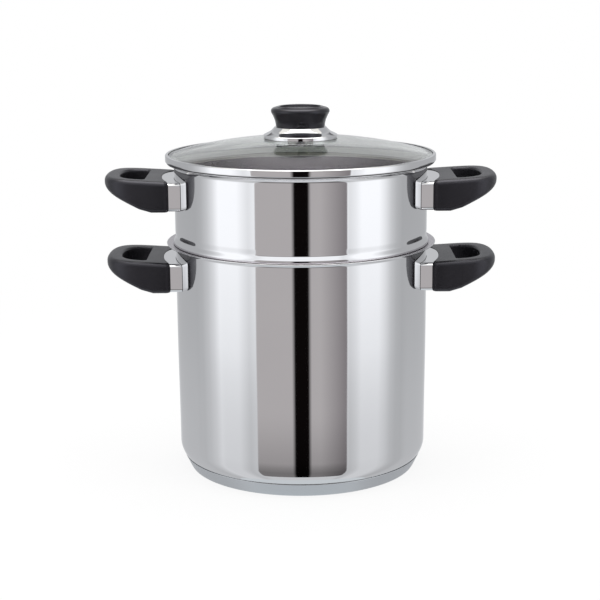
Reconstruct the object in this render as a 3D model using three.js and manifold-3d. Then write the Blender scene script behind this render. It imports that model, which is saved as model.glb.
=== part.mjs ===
// A couscoussier: a stew pot, a steamer that nests in its mouth and a domed glass lid.
// Millimetres, +Z up. The origin is on the table under the middle of the pot, and the handles lie along X.

import * as THREE from 'three';
import { mergeGeometries, mergeVertices } from 'three/addons/utils/BufferGeometryUtils.js';
import Module from 'manifold-3d';

// Driving dimensions: the two vessels
const wallRadius = 120;          // outside of the pot's and the steamer's wall
const sheet = 0.8;               // steel of both vessels
const clearance = 0.3;           // between pieces that touch
const potHeight = 221.2;         // top of the pot's lip above the table
const potCornerRadius = 20.5;    // outside of the bend between wall and floor
const potLipReach = 8.3;         // lip beyond the wall
const potLipBend = 3.1;          // outside radius of the bend below that lip
const potTaper = 0.8;            // foot of the wall inside the rest of it
const potTaperTop = 140;         // where the wall starts to draw in
const steamerRise = 76.5;        // top of the steamer's lip above the pot's
const steamerLipReach = 7;
const steamerLipBend = 5;
const lipAngle = 1.4;            // turn of the bend below a lip, in radians

// Driving dimensions: the heat-spreading base
const capSheet = 0.6;
const capInset = 4.1;            // upper edge of the cap inside the pot's wall
const capDraft = 4.4;            // foot of the cap's side inside that edge
const capChamfer = 3.6;          // between that side and the flat
const coreThickness = 4.5;

// Driving dimensions: the steamer's seat and floor
const beadReach = 1.8;           // bead beyond the wall
const beadBend = 1.6;            // round under the bead, which sits in the pot's flare
const beadHeight = 1.2;          // straight side of the bead
const beadShoulder = 4.1;        // bead's curve back to the wall
const skirtClearance = 0.9;      // skirt to the inside of the pot
const skirtDepth = 31;           // steamer's floor below the pot's lip
const skirtCornerRadius = 10;
const holeRadius = 3;
const holePitch = 18;
const holeMargin = 5;            // outermost holes to the skirt's corner

// Driving dimensions: the lid
const lidOverhang = 1.2;         // band beyond the steamer's lip
const bandSheet = 0.6;
const bandWidth = 4.5;           // width of the band over the glass
const bandCornerRadius = 1.6;
const centringDepth = 6;         // rim's inner edge below its seat
const centringClearance = 1.2;   // inner edge to the steamer's wall
const glassThickness = 5;
const domeRise = 16.1;           // apex above the glass's flat brim
const glassHoleRadius = 4;

// Driving dimensions: the knob
const knobRadius = 28;
const knobNeckRadius = 23.2;
const knobHeight = 18.9;
const knobWidest = 14.4;         // height of its widest place
const knobShoulder = 4;          // round between its side and its top
const knobRingRadius = 20.5;     // crest of the ring around the dished top
const knobDish = 1.6;
const skirtRadius = 35;          // polished cone's foot on the glass
const skirtTopRadius = 24.1;
const skirtHeight = 10.4;
const skirtWaistRadius = 29.3;   // the cone is hollowed towards this point
const skirtWaistHeight = 4.7;
const skirtFoot = 2.4;           // upright edge of that foot
const skirtSheet = 1;
const insertRadius = 4.7;
const insertLength = 11;
const gasketRadius = 10;
const gasketThickness = 1.2;

// Driving dimensions: the handles
const handleDrop = 15.5;         // top of a flame guard below its vessel's lip
const guardHalfWidth = 45;
const guardHeight = 26.5;
const guardCornerRadius = 3.5;
const guardSheet = 0.9;
const guardReach = 2.5;          // guard's sides beyond the wall radius
const tongueReach = 11.5;        // rounded tongue of the guard at its middle
const gripHalfWidth = 47.5;
const gripReach = 65.3;          // wall radius to the tip
const gripProudTop = 1.2;        // grip above the guard
const gripProudBottom = 0.9;     // grip below the guard
const gripTopRise = 0.058;       // slope of the top face
const gripUndersideStart = 23.5; // where the underside starts to rise
const gripUndersideRise = 0.5;
const gripBodyStart = 30;        // where the sides start to round towards the tip
const gripFullness = 0.75;       // how square that round is
const gripEdgeRadius = 5;
const gripEdgeShare = 0.45;       // the most of its thickness that this takes
const windowStart = 26.5;
const windowEnd = 51;
const windowBodyStart = 32;
const windowHalfWidth = 33;
const windowFullness = 0.68;
const windowEdgeRadius = 2.5;
const windowEdgeShare = 0.4;
const tenonAirGap = 6;           // grip's tenon to the hot wall
const tenonDepth = 20;           // tenon runs this far out into the grip
const bracketHalfWidth = 14;
const bracketHalfHeight = 8;
const bracketSheet = 2.5;
const bossRadius = 6;
const bossReach = 13;
const screwSeat = 21.5;          // floor of the counterbore in the window's inner wall

// Driving dimensions: fasteners, alike on the knob and the handles
const screwRadius = 2.1;
const screwHeadRadius = 4.5;
const screwHeadHeight = 2.9;
const screwHeadRound = 1.5;      // chamfer around the head
const washerRadius = 5.2;
const washerThickness = 1;
const threadLength = 8;          // screw inside its boss or insert
const overcut = 1;               // cutters run this far past the faces that they cut

// How finely curves are cut into facets
const vesselSegments = 40;
const knobSegments = 24;
const fastenerSegments = 12;
const cutSegments = 72;
const holeSides = 6;
const arcSteps = 2;
const hiddenArcSteps = 1;
const gripSteps = 9;

// Heights and radii that follow from the driving dimensions
const potFootRadius = wallRadius - potTaper;
const capRadius = potFootRadius - capInset;
const coreBottom = capSheet + clearance;
const potFloor = coreBottom + coreThickness + clearance;
const innerRadius = wallRadius - sheet;
const steamerTop = potHeight + steamerRise;
const steamerFloor = potHeight - skirtDepth;
const lidSeat = steamerTop + clearance;
const brimBottom = lidSeat + bandSheet + clearance;
const brimTop = brimBottom + glassThickness;
const bandRadius = wallRadius + steamerLipReach + lidOverhang;
const bandInnerRadius = bandRadius - bandWidth;
const domeRadius = bandInnerRadius - clearance;
const domeSphere = (domeRadius ** 2 + domeRise ** 2) / (2 * domeRise);
const domeCentre = brimTop + domeRise - domeSphere;
const underSphere = domeSphere - glassThickness;
const screwHole = screwRadius + clearance;

const finishes = {
  polishedSteel: new THREE.MeshStandardMaterial({ color: 0xd4d5d8, roughness: 0.08, metalness: 1 }),
  satinSteel: new THREE.MeshStandardMaterial({ color: 0xa9adb3, roughness: 0.32, metalness: 1 }),
  aluminium: new THREE.MeshStandardMaterial({ color: 0xb9bbbe, roughness: 0.45, metalness: 1 }),
  darkResin: new THREE.MeshStandardMaterial({ color: 0x2b2b2d, roughness: 0.5, metalness: 0 }),
  brass: new THREE.MeshStandardMaterial({ color: 0xb08d4a, roughness: 0.35, metalness: 1 }),
  silicone: new THREE.MeshStandardMaterial({ color: 0x8e9194, roughness: 0.7, metalness: 0 }),
  glass: new THREE.MeshStandardMaterial({ color: 0xcfd9d4, roughness: 0, transparent: true, opacity: 0.35 }),
};

const wasm = await Module();
wasm.setup();

const couscoussier = new THREE.Group();

function addPiece(name, geometry, finish, parent = couscoussier) {
  geometry.computeVertexNormals();
  const piece = new THREE.Mesh(geometry, finishes[finish]);
  piece.name = name;
  parent.add(piece);
}

// Positions alone, with shared vertices merged and the needles at a lathe's poles left out
function welded(geometry) {
  geometry.deleteAttribute('normal');
  geometry.deleteAttribute('uv');
  const merged = mergeVertices(geometry);
  const corners = merged.index.array;
  const kept = [];
  for (let i = 0; i < corners.length; i += 3) {
    const [a, b, c] = corners.slice(i, i + 3);
    if (a !== b && b !== c && c !== a) kept.push(a, b, c);
  }
  merged.setIndex(kept);
  return merged;
}

// To and from the solids that can be joined and cut
function solid(geometry) {
  const closed = welded(geometry);
  return new wasm.Manifold(new wasm.Mesh({
    numProp: 3,
    vertProperties: new Float32Array(closed.attributes.position.array),
    triVerts: new Uint32Array(closed.index.array),
  }));
}

function geometryOf(body) {
  const mesh = body.getMesh();
  const geometry = new THREE.BufferGeometry();
  geometry.setAttribute('position', new THREE.BufferAttribute(mesh.vertProperties, 3));
  geometry.setIndex(new THREE.BufferAttribute(mesh.triVerts, 1));
  return geometry;
}

// A profile of (radius, height) points, counter-clockwise, turned about Z
function turned(path, segments, steps = arcSteps) {
  const lathe = new THREE.LatheGeometry(path.getPoints(steps), segments);
  return welded(lathe.rotateX(Math.PI / 2));
}

// A round plate or bush with a hole that clears a screw
function ring(radius, bottom, top) {
  const path = new THREE.Path();
  path.moveTo(screwHole, bottom);
  path.lineTo(radius, bottom);
  path.lineTo(radius, top);
  path.lineTo(screwHole, top);
  path.closePath();
  return turned(path, fastenerSegments);
}

// A round bar along Z, and one along X
function uprightBar(radius, bottom, top, segments, x = 0, y = 0) {
  const bar = new THREE.CylinderGeometry(radius, radius, top - bottom, segments);
  return bar.rotateX(Math.PI / 2).translate(x, y, (bottom + top) / 2);
}

function levelBar(radius, from, to, z, segments = fastenerSegments) {
  const bar = new THREE.CylinderGeometry(radius, radius, to - from, segments);
  return bar.rotateZ(-Math.PI / 2).translate((from + to) / 2, 0, z);
}

// The flared lip of a vessel: the wall bends outwards and a straight edge then runs to its reach
function lipOf(top, reach, bendRadius) {
  const bend = Math.min(bendRadius, reach / (1 - Math.cos(lipAngle)));
  const edge = (reach - bend * (1 - Math.cos(lipAngle))) / Math.sin(lipAngle);
  const rise = (bend + sheet) * Math.sin(lipAngle) + edge * Math.cos(lipAngle);
  return { bend, edge, centreRadius: wallRadius + bend, centreHeight: top - rise };
}

// Runs a profile up the outside of a lip, over its edge and back to the inside of the wall
function addLip(path, lip) {
  const { bend, edge, centreRadius, centreHeight } = lip;
  const end = Math.PI - lipAngle;
  const outwards = new THREE.Vector2(Math.sin(lipAngle), Math.cos(lipAngle));
  const inwards = new THREE.Vector2(-Math.cos(lipAngle), Math.sin(lipAngle));
  path.absarc(centreRadius, centreHeight, bend, Math.PI, end, true);
  const underside = path.currentPoint.clone().addScaledVector(outwards, edge);
  path.lineTo(underside.x, underside.y);
  const topside = underside.addScaledVector(inwards, sheet);
  path.lineTo(topside.x, topside.y);
  path.absarc(centreRadius, centreHeight, bend + sheet, end, Math.PI, false);
}

const potLip = lipOf(potHeight, potLipReach, potLipBend);
const steamerLip = lipOf(steamerTop, steamerLipReach, steamerLipBend);

// Pot: floor, corner, wall and lip in one drawn sheet
function potBody() {
  const flat = potFootRadius - potCornerRadius;
  const bendHeight = potFloor + potCornerRadius;
  const path = new THREE.Path();
  path.moveTo(0, potFloor);
  path.lineTo(flat, potFloor);
  path.absarc(flat, bendHeight, potCornerRadius, -Math.PI / 2, 0, false);
  path.lineTo(wallRadius, potTaperTop);
  addLip(path, potLip);
  path.lineTo(innerRadius, potTaperTop);
  path.absarc(flat, bendHeight, potCornerRadius - sheet, 0, -Math.PI / 2, true);
  path.lineTo(0, potFloor + sheet);
  return turned(path, vesselSegments);
}

// Height of the surface that lies one clearance under the pot's corner
function underCorner(radius) {
  const across = radius - (potFootRadius - potCornerRadius);
  return potFloor + potCornerRadius - Math.sqrt((potCornerRadius + clearance) ** 2 - across ** 2);
}

// The cap's side at a distance inside its outside, from the flat up to the pot's corner
function capSide(inset) {
  const foot = capRadius - capDraft;
  const mitre = inset * Math.tan(Math.PI / 8);
  const edge = capRadius - inset;
  return [
    new THREE.Vector2(foot - capChamfer - mitre, inset),
    new THREE.Vector2(foot - inset, capChamfer + mitre),
    new THREE.Vector2(edge, underCorner(edge)),
  ];
}

function baseCore() {
  const side = capSide(capSheet + clearance);
  const flat = potFootRadius - potCornerRadius;
  const bend = potCornerRadius + clearance;
  const path = new THREE.Path();
  path.moveTo(0, coreBottom);
  side.forEach((point) => path.lineTo(point.x, point.y));
  const edge = -Math.acos((side.at(-1).x - flat) / bend);
  path.absarc(flat, potFloor + potCornerRadius, bend, edge, -Math.PI / 2, true);
  path.lineTo(0, potFloor - clearance);
  return turned(path, vesselSegments, hiddenArcSteps);
}

function baseCap() {
  const path = new THREE.Path();
  path.moveTo(0, 0);
  capSide(0).forEach((point) => path.lineTo(point.x, point.y));
  capSide(capSheet).reverse().forEach((point) => path.lineTo(point.x, point.y));
  path.lineTo(0, capSheet);
  return turned(path, vesselSegments);
}

// Steamer: its bead rests in the pot's flare, and a narrower skirt hangs below to a perforated floor
function steamerBody() {
  const skirt = innerRadius - skirtClearance;
  const flat = skirt - skirtCornerRadius;
  const cornerHeight = steamerFloor + skirtCornerRadius;
  const beadRadius = wallRadius + beadReach;
  const beadCentre = beadRadius - beadBend;
  const touching = potLip.bend + sheet + clearance + beadBend;
  const apart = potLip.centreRadius - beadCentre;
  const beadBase = potLip.centreHeight + Math.sqrt(touching ** 2 - apart ** 2);
  const beadTop = beadBase + beadHeight;
  const shoulderTop = beadTop + beadShoulder;
  const shoulderMiddle = (beadTop + shoulderTop) / 2;
  const path = new THREE.Path();
  path.moveTo(0, steamerFloor);
  path.lineTo(flat, steamerFloor);
  path.absarc(flat, cornerHeight, skirtCornerRadius, -Math.PI / 2, 0, false);
  path.lineTo(skirt, beadBase - beadBend);
  path.absarc(beadCentre, beadBase, beadBend, -Math.PI / 2, 0, false);
  path.lineTo(beadRadius, beadTop);
  path.bezierCurveTo(beadRadius, shoulderMiddle, wallRadius, shoulderMiddle, wallRadius, shoulderTop);
  addLip(path, steamerLip);
  path.lineTo(innerRadius, shoulderTop);
  const beadInner = beadRadius - sheet;
  path.bezierCurveTo(innerRadius, shoulderMiddle, beadInner, shoulderMiddle, beadInner, beadTop);
  path.absarc(beadCentre, beadBase, beadBend - sheet, 0, -Math.PI / 2, true);
  path.lineTo(skirt - sheet, beadBase - beadBend + sheet);
  path.absarc(flat, cornerHeight, skirtCornerRadius - sheet, 0, -Math.PI / 2, true);
  path.lineTo(0, steamerFloor + sheet);
  const vessel = solid(turned(path, vesselSegments, hiddenArcSteps));
  return geometryOf(vessel.subtract(solid(steamHoles(flat - holeMargin))));
}

// Punches for the steam holes, on rings around a middle one
function steamHoles(reach) {
  const bottom = steamerFloor - sheet;
  const top = steamerFloor + 2 * sheet;
  const punches = [uprightBar(holeRadius, bottom, top, holeSides)];
  for (let row = 1; row * holePitch + holeRadius < reach; row++) {
    const count = 6 * row;
    for (let i = 0; i < count; i++) {
      const angle = (2 * Math.PI * i) / count;
      const x = row * holePitch * Math.cos(angle);
      const y = row * holePitch * Math.sin(angle);
      punches.push(uprightBar(holeRadius, bottom, top, holeSides, x, y));
    }
  }
  return mergeGeometries(punches);
}

// Lid rim: a folded band that grips the glass, with an edge turned down inside the steamer's mouth
function lidRim() {
  const edge = innerRadius - centringClearance;
  const top = brimTop + clearance + bandSheet;
  const corner = bandCornerRadius;
  const path = new THREE.Path();
  path.moveTo(edge - bandSheet, lidSeat - centringDepth);
  path.lineTo(edge, lidSeat - centringDepth);
  path.lineTo(edge, lidSeat);
  path.absarc(bandRadius - corner, lidSeat + corner, corner, -Math.PI / 2, 0, false);
  path.absarc(bandRadius - corner, top - corner, corner, 0, Math.PI / 2, false);
  path.lineTo(bandInnerRadius, top);
  path.lineTo(bandInnerRadius, top - bandSheet);
  path.lineTo(bandRadius - bandSheet, top - bandSheet);
  path.lineTo(bandRadius - bandSheet, lidSeat + bandSheet);
  path.lineTo(edge - bandSheet, lidSeat + bandSheet);
  path.closePath();
  return turned(path, vesselSegments, hiddenArcSteps);
}

// Lid glass: a low dome with a flat brim inside the band and a hole for the knob's screw
function lidGlass() {
  const brimRadius = bandRadius - bandSheet - clearance - bandCornerRadius / 2;
  const underStart = Math.acos(glassHoleRadius / underSphere);
  const underEnd = Math.asin((brimBottom - domeCentre) / underSphere);
  const topStart = Math.acos(domeRadius / domeSphere);
  const topEnd = Math.acos(glassHoleRadius / domeSphere);
  const path = new THREE.Path();
  path.absarc(0, domeCentre, underSphere, underStart, underEnd, true);
  path.lineTo(brimRadius, brimBottom);
  path.lineTo(brimRadius, brimTop);
  path.absarc(0, domeCentre, domeSphere, topStart, topEnd, false);
  path.closePath();
  return turned(path, vesselSegments);
}

function domeHeight(sphere, radius) {
  return domeCentre + Math.sqrt(sphere ** 2 - radius ** 2);
}

const skirtFootHeight = domeHeight(domeSphere, skirtRadius) + clearance;
const skirtTop = skirtFootHeight + skirtHeight;
const knobBottom = skirtTop + clearance;
const knobTop = knobBottom + knobHeight;
const gasketTop = domeHeight(underSphere, gasketRadius) - clearance;
const knobWasherTop = gasketTop - gasketThickness - clearance;
const knobHeadTop = knobWasherTop - washerThickness - clearance;

// Polished cone under the knob, hollow, with its foot on the glass
function knobSkirt() {
  const shoulder = skirtFootHeight + skirtFoot;
  const waist = skirtFootHeight + skirtWaistHeight;
  const innerWaist = skirtWaistRadius - skirtSheet;
  const path = new THREE.Path();
  path.moveTo(skirtRadius - skirtSheet, skirtFootHeight);
  path.lineTo(skirtRadius, skirtFootHeight);
  path.lineTo(skirtRadius, shoulder);
  path.quadraticCurveTo(skirtWaistRadius, waist, skirtTopRadius, skirtTop);
  path.lineTo(screwHole, skirtTop);
  path.lineTo(screwHole, skirtTop - skirtSheet);
  path.lineTo(skirtTopRadius - skirtSheet, skirtTop - skirtSheet);
  path.quadraticCurveTo(innerWaist, waist - skirtSheet, skirtRadius - skirtSheet, shoulder - skirtSheet);
  path.closePath();
  return turned(path, knobSegments);
}

// Knob: a neck that swells to the grip, and a dished top inside a raised ring
function knobGrip() {
  const bore = insertRadius + clearance;
  const boreTop = knobBottom + insertLength + clearance;
  const widest = knobBottom + knobWidest;
  const path = new THREE.Path();
  path.moveTo(0, boreTop);
  path.lineTo(bore, boreTop);
  path.lineTo(bore, knobBottom);
  path.lineTo(knobNeckRadius, knobBottom);
  const swell = (knobBottom + widest) / 2;
  path.bezierCurveTo(knobNeckRadius, swell, knobRadius, swell, knobRadius, widest);
  const shoulder = knobTop - knobShoulder / 2;
  path.bezierCurveTo(knobRadius, shoulder, knobRadius - knobShoulder / 2, knobTop, knobRingRadius, knobTop);
  path.quadraticCurveTo(knobRingRadius / 2, knobTop - knobDish, 0, knobTop - knobDish);
  return turned(path, knobSegments);
}

// A round-headed screw along Z with its head at the bottom
function screw(headTop, tip) {
  const head = headTop - screwHeadHeight;
  const path = new THREE.Path();
  path.moveTo(0, head);
  path.lineTo(screwHeadRadius - screwHeadRound, head);
  path.lineTo(screwHeadRadius, head + screwHeadRound);
  path.lineTo(screwHeadRadius, headTop);
  path.lineTo(screwRadius, headTop);
  path.lineTo(screwRadius, tip);
  path.lineTo(0, tip);
  return turned(path, fastenerSegments);
}

// Handles are built along +X with Z measured from the top of the flame guard
const guardMiddle = -guardHeight / 2;
const tongueSag = tongueReach - guardReach;
const tongueRadius = (guardHalfWidth ** 2 + tongueSag ** 2) / (2 * tongueSag);
const tongueCentre = wallRadius + tongueReach - tongueRadius;
const counterbore = wallRadius + screwSeat;
const washerFace = counterbore + clearance + washerThickness;

// A bar along X with rounded corners, a given distance inside the flame guard's outside
function guardBar(inset, from, to) {
  const across = guardHalfWidth - inset;
  const low = inset - guardHeight;
  const round = guardCornerRadius - inset;
  const shape = new THREE.Shape();
  shape.absarc(across - round, -inset - round, round, 0, Math.PI / 2, false);
  shape.absarc(round - across, -inset - round, round, Math.PI / 2, Math.PI, false);
  shape.absarc(round - across, low + round, round, Math.PI, 1.5 * Math.PI, false);
  shape.absarc(across - round, low + round, round, 1.5 * Math.PI, 2 * Math.PI, false);
  const settings = { depth: to - from, bevelEnabled: false, curveSegments: arcSteps };
  const bar = new THREE.ExtrudeGeometry(shape, settings);
  const axes = [new THREE.Vector3(0, 1, 0), new THREE.Vector3(0, 0, 1), new THREE.Vector3(1, 0, 0)];
  bar.applyMatrix4(new THREE.Matrix4().makeBasis(...axes));
  return solid(bar.translate(from, 0, 0));
}

// A tall round cutter whose facets touch the given radius, for the wall and for the guard's rounded tongue
function cutter(radius, x = 0) {
  const corners = radius / Math.cos(Math.PI / cutSegments);
  return solid(uprightBar(corners, -3 * guardHeight, 2 * guardHeight, cutSegments, x));
}

// Flame guard: a thin sleeve between the wall and the grip
function flameGuard() {
  const from = wallRadius / 2;
  const to = wallRadius + gripReach;
  const sleeve = guardBar(0, from, to).subtract(guardBar(guardSheet, from - overcut, to + overcut));
  const ended = sleeve.intersect(cutter(tongueRadius, tongueCentre));
  return geometryOf(ended.subtract(cutter(wallRadius + clearance)));
}

// The grip's top and underside at a distance x from the vessel's axis
function gripTop(x) {
  return gripProudTop + gripTopRise * (x - wallRadius - guardReach);
}

function gripUnderside(x) {
  const out = x - wallRadius;
  const rise = gripUndersideRise * Math.max(0, out - gripUndersideStart);
  return rise - guardHeight - gripProudBottom;
}

// A rounded outline in plan, from its tip round to a straight inner edge and back to the tip
function planLoop(start, bodyStart, tip, halfWidth, fullness) {
  const bow = bodyStart + fullness * (tip - bodyStart);
  const path = new THREE.Path();
  path.moveTo(tip, 0);
  path.bezierCurveTo(tip, fullness * halfWidth, bow, halfWidth, bodyStart, halfWidth);
  path.lineTo(start, halfWidth);
  path.lineTo(start, -halfWidth);
  path.lineTo(bodyStart, -halfWidth);
  path.bezierCurveTo(bow, -halfWidth, tip, -fullness * halfWidth, tip, 0);
  return path.getPoints(gripSteps).slice(0, -1);
}

// For each corner of a closed loop, the step to its left that moves both of its edges by one
function leftSteps(loop) {
  const leftOf = (from, to) => new THREE.Vector2(from.y - to.y, to.x - from.x).normalize();
  return loop.map((point, i) => {
    const arriving = leftOf(loop.at(i - 1), point);
    const leaving = leftOf(point, loop[(i + 1) % loop.length]);
    return arriving.clone().add(leaving).divideScalar(1 + arriving.dot(leaving));
  });
}

// The grip's body is a ring of sections around its finger window, each with rounded edges
function gripBody() {
  const tip = wallRadius + gripReach;
  const outer = planLoop(wallRadius, wallRadius + gripBodyStart, tip, gripHalfWidth, gripFullness);
  const [inner, body, end] = [windowStart, windowBodyStart, windowEnd].map((out) => wallRadius + out);
  const window = planLoop(inner, body, end, windowHalfWidth, windowFullness);
  const outerSteps = leftSteps(outer);
  const windowSteps = leftSteps(window);
  const sections = outer.map((edge, i) => {
    const section = [];
    const put = (point, inwards, depth, fromTop, fromBottom) => {
      const x = point.x + inwards.x * depth;
      const y = point.y + inwards.y * depth;
      const z = fromTop === null ? gripUnderside(x) + fromBottom : gripTop(x) - fromTop;
      section.push(new THREE.Vector3(x, y, z));
    };
    const thick = gripTop(edge.x) - gripUnderside(edge.x);
    const round = Math.min(gripEdgeRadius, thick * gripEdgeShare);
    const half = round * (1 - Math.SQRT1_2);
    const soft = Math.min(windowEdgeRadius, thick * windowEdgeShare);
    const inwards = outerSteps[i];
    const outwards = windowSteps[i].clone().negate();
    put(edge, inwards, round, null, 0);
    put(edge, inwards, half, null, half);
    put(edge, inwards, 0, null, round);
    put(edge, inwards, 0, round, null);
    put(edge, inwards, half, half, null);
    put(edge, inwards, round, 0, null);
    put(window[i], outwards, soft, 0, null);
    put(window[i], outwards, 0, soft, null);
    put(window[i], outwards, 0, null, soft);
    put(window[i], outwards, soft, null, 0);
    return section;
  });
  return ringOfSections(sections);
}

// A closed tube through sections that follow each other round a loop
function ringOfSections(sections) {
  const count = sections[0].length;
  const corners = [];
  sections.forEach((section, i) => {
    const next = (i + 1) % sections.length;
    for (let j = 0; j < count; j++) {
      const after = (j + 1) % count;
      const [a, b] = [i * count + j, next * count + j];
      const [c, d] = [next * count + after, i * count + after];
      corners.push(a, b, c, a, c, d);
    }
  });
  const geometry = new THREE.BufferGeometry().setFromPoints(sections.flat());
  return geometry.setIndex(corners);
}

// Grip: the body ends on the guard's tongue, a tenon enters the sleeve, and bores take the boss and the screw
function grip() {
  const tenonInset = guardSheet + clearance;
  const bossEnd = wallRadius + bossReach + clearance;
  const tenon = guardBar(tenonInset, wallRadius / 2, wallRadius + tenonDepth);
  return geometryOf(solid(gripBody())
    .subtract(cutter(tongueRadius + clearance, tongueCentre))
    .add(tenon.subtract(cutter(wallRadius + tenonAirGap)))
    .subtract(solid(levelBar(bossRadius + clearance, wallRadius / 2, bossEnd, guardMiddle)))
    .subtract(solid(levelBar(screwHole, bossEnd - overcut, counterbore + overcut, guardMiddle)))
    .subtract(solid(levelBar(washerRadius + clearance, counterbore, wallRadius + windowEnd, guardMiddle))));
}

// Bracket: a plate that follows the wall, with a threaded boss for the screw
function weldBracket() {
  const depth = 2 * bracketSheet;
  const plate = new THREE.BoxGeometry(2 * depth, 2 * bracketHalfWidth, 2 * bracketHalfHeight);
  plate.translate(wallRadius + bracketSheet - depth, 0, guardMiddle);
  const bossEnd = wallRadius + bossReach;
  const threadStart = bossEnd - threadLength - clearance;
  return geometryOf(solid(plate)
    .add(solid(levelBar(bossRadius, wallRadius + bracketSheet / 2, bossEnd, guardMiddle)))
    .subtract(solid(levelBar(screwHole, threadStart, bossEnd + overcut, guardMiddle)))
    .subtract(cutter(wallRadius + clearance)));
}

function handleScrew() {
  const tip = wallRadius + bossReach - threadLength;
  const headFace = washerFace + clearance;
  const standing = screw(-headFace, -tip);
  return standing.rotateY(-Math.PI / 2).translate(0, 0, guardMiddle);
}

function handleWasher() {
  const standing = ring(washerRadius, -washerFace, -counterbore - clearance);
  return standing.rotateY(-Math.PI / 2).translate(0, 0, guardMiddle);
}

function addHandle(vessel, side, lipTop) {
  const handle = new THREE.Group();
  handle.position.z = lipTop - handleDrop;
  handle.rotation.z = side === 'left' ? Math.PI : 0;
  const prefix = `${vessel}_${side}`;
  addPiece(`${prefix}_grip`, grip(), 'darkResin', handle);
  addPiece(`${prefix}_flame_guard`, flameGuard(), 'polishedSteel', handle);
  addPiece(`${prefix}_weld_bracket`, weldBracket(), 'satinSteel', handle);
  addPiece(`${prefix}_screw`, handleScrew(), 'satinSteel', handle);
  addPiece(`${prefix}_washer`, handleWasher(), 'satinSteel', handle);
  couscoussier.add(handle);
}

addPiece('pot_body', potBody(), 'polishedSteel');
addPiece('base_core', baseCore(), 'aluminium');
addPiece('base_cap', baseCap(), 'satinSteel');
addPiece('steamer_body', steamerBody(), 'polishedSteel');
for (const side of ['left', 'right']) {
  addHandle('pot', side, potHeight);
  addHandle('steamer', side, steamerTop);
}
addPiece('lid_rim', lidRim(), 'polishedSteel');
addPiece('lid_glass', lidGlass(), 'glass');
addPiece('knob_skirt', knobSkirt(), 'polishedSteel');
addPiece('knob_grip', knobGrip(), 'darkResin');
addPiece('knob_insert', ring(insertRadius, knobBottom, knobBottom + insertLength), 'brass');
addPiece('knob_gasket', ring(gasketRadius, gasketTop - gasketThickness, gasketTop), 'silicone');
addPiece('knob_washer', ring(washerRadius, knobWasherTop - washerThickness, knobWasherTop), 'satinSteel');
addPiece('knob_screw', screw(knobHeadTop, knobBottom + threadLength), 'satinSteel');

export default couscoussier;
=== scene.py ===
# %% [markdown]
# # A couscoussier, dressed
# A couscoussier is a stew pot with a steamer that nests in its mouth and a lid on top. This lesson
# takes the plain solids of one, keeps every piece where it is, and gives each the fine surface and
# the finish that it has in a kitchen. All sizes are in metres in Blender, so the drawings below,
# which are in millimetres, are scaled once, when a mesh is made.

# %% Load the solids
import math

import bmesh
import bpy
from mathutils import Matrix, Vector


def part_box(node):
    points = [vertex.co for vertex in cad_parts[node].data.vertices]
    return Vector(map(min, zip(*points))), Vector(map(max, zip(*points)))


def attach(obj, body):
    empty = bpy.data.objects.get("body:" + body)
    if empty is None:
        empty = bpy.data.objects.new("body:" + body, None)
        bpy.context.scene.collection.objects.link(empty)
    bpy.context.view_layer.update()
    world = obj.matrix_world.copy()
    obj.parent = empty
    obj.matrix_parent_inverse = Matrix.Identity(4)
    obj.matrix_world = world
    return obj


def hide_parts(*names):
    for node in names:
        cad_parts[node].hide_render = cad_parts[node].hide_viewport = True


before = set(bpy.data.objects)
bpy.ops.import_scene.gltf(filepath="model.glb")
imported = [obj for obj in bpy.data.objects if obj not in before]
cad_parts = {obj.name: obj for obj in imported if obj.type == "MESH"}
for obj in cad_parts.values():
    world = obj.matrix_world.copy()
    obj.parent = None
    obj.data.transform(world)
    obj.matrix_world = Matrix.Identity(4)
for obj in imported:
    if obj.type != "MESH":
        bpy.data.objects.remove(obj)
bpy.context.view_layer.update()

MM = 0.001

# %% [markdown]
# ## Camera
# The photograph was taken from a little above the rim with a long lens, so the rims show as flat
# ellipses. Two rims of known radius are enough to find where such a camera stood. It could be aimed
# with a constraint, but three plain numbers and two turns are easier to read.

# %% Stand the camera
CAMERA_PLACE = Vector((-1.4, -1461.4, 485.4)) * MM
CAMERA_PITCH = math.radians(12.5)
CAMERA_ROLL = math.radians(-0.38)
CAMERA_LENS = 92.74

lens = bpy.data.cameras.new("camera")
lens.lens = CAMERA_LENS
camera = bpy.data.objects.new("camera", lens)
bpy.context.scene.collection.objects.link(camera)
aim = Matrix.Rotation(math.pi / 2 - CAMERA_PITCH, 4, "X") @ Matrix.Rotation(CAMERA_ROLL, 4, "Z")
camera.matrix_world = Matrix.Translation(CAMERA_PLACE) @ aim
bpy.context.scene.camera = camera
bpy.context.scene.view_settings.view_transform = "Standard"
print("camera stands", round(CAMERA_PLACE.length, 2), "m from the pot's foot")

# %% [markdown]
# ## Shader sums
# A finish is mostly arithmetic: a little noise, stretched, scaled and added to a roughness. Nodes can
# be placed by hand, one call each, but then the sum is hard to see. A small class that wraps a socket
# lets the sum be written as a sum, and each operator adds the node that does it.

# %% A socket that can be added and multiplied
def feed(socket, value):
    """Link a signal to a socket, or set the socket's own value."""
    if isinstance(value, Signal):
        socket.id_data.links.new(value.socket, socket)
    elif isinstance(value, (int, float)) and socket.type in ("RGBA", "VECTOR"):
        socket.default_value = [value] * len(socket.default_value)
    elif socket.type == "RGBA" and len(value) == 3:
        socket.default_value = (*value, 1.0)
    else:
        socket.default_value = value


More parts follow.
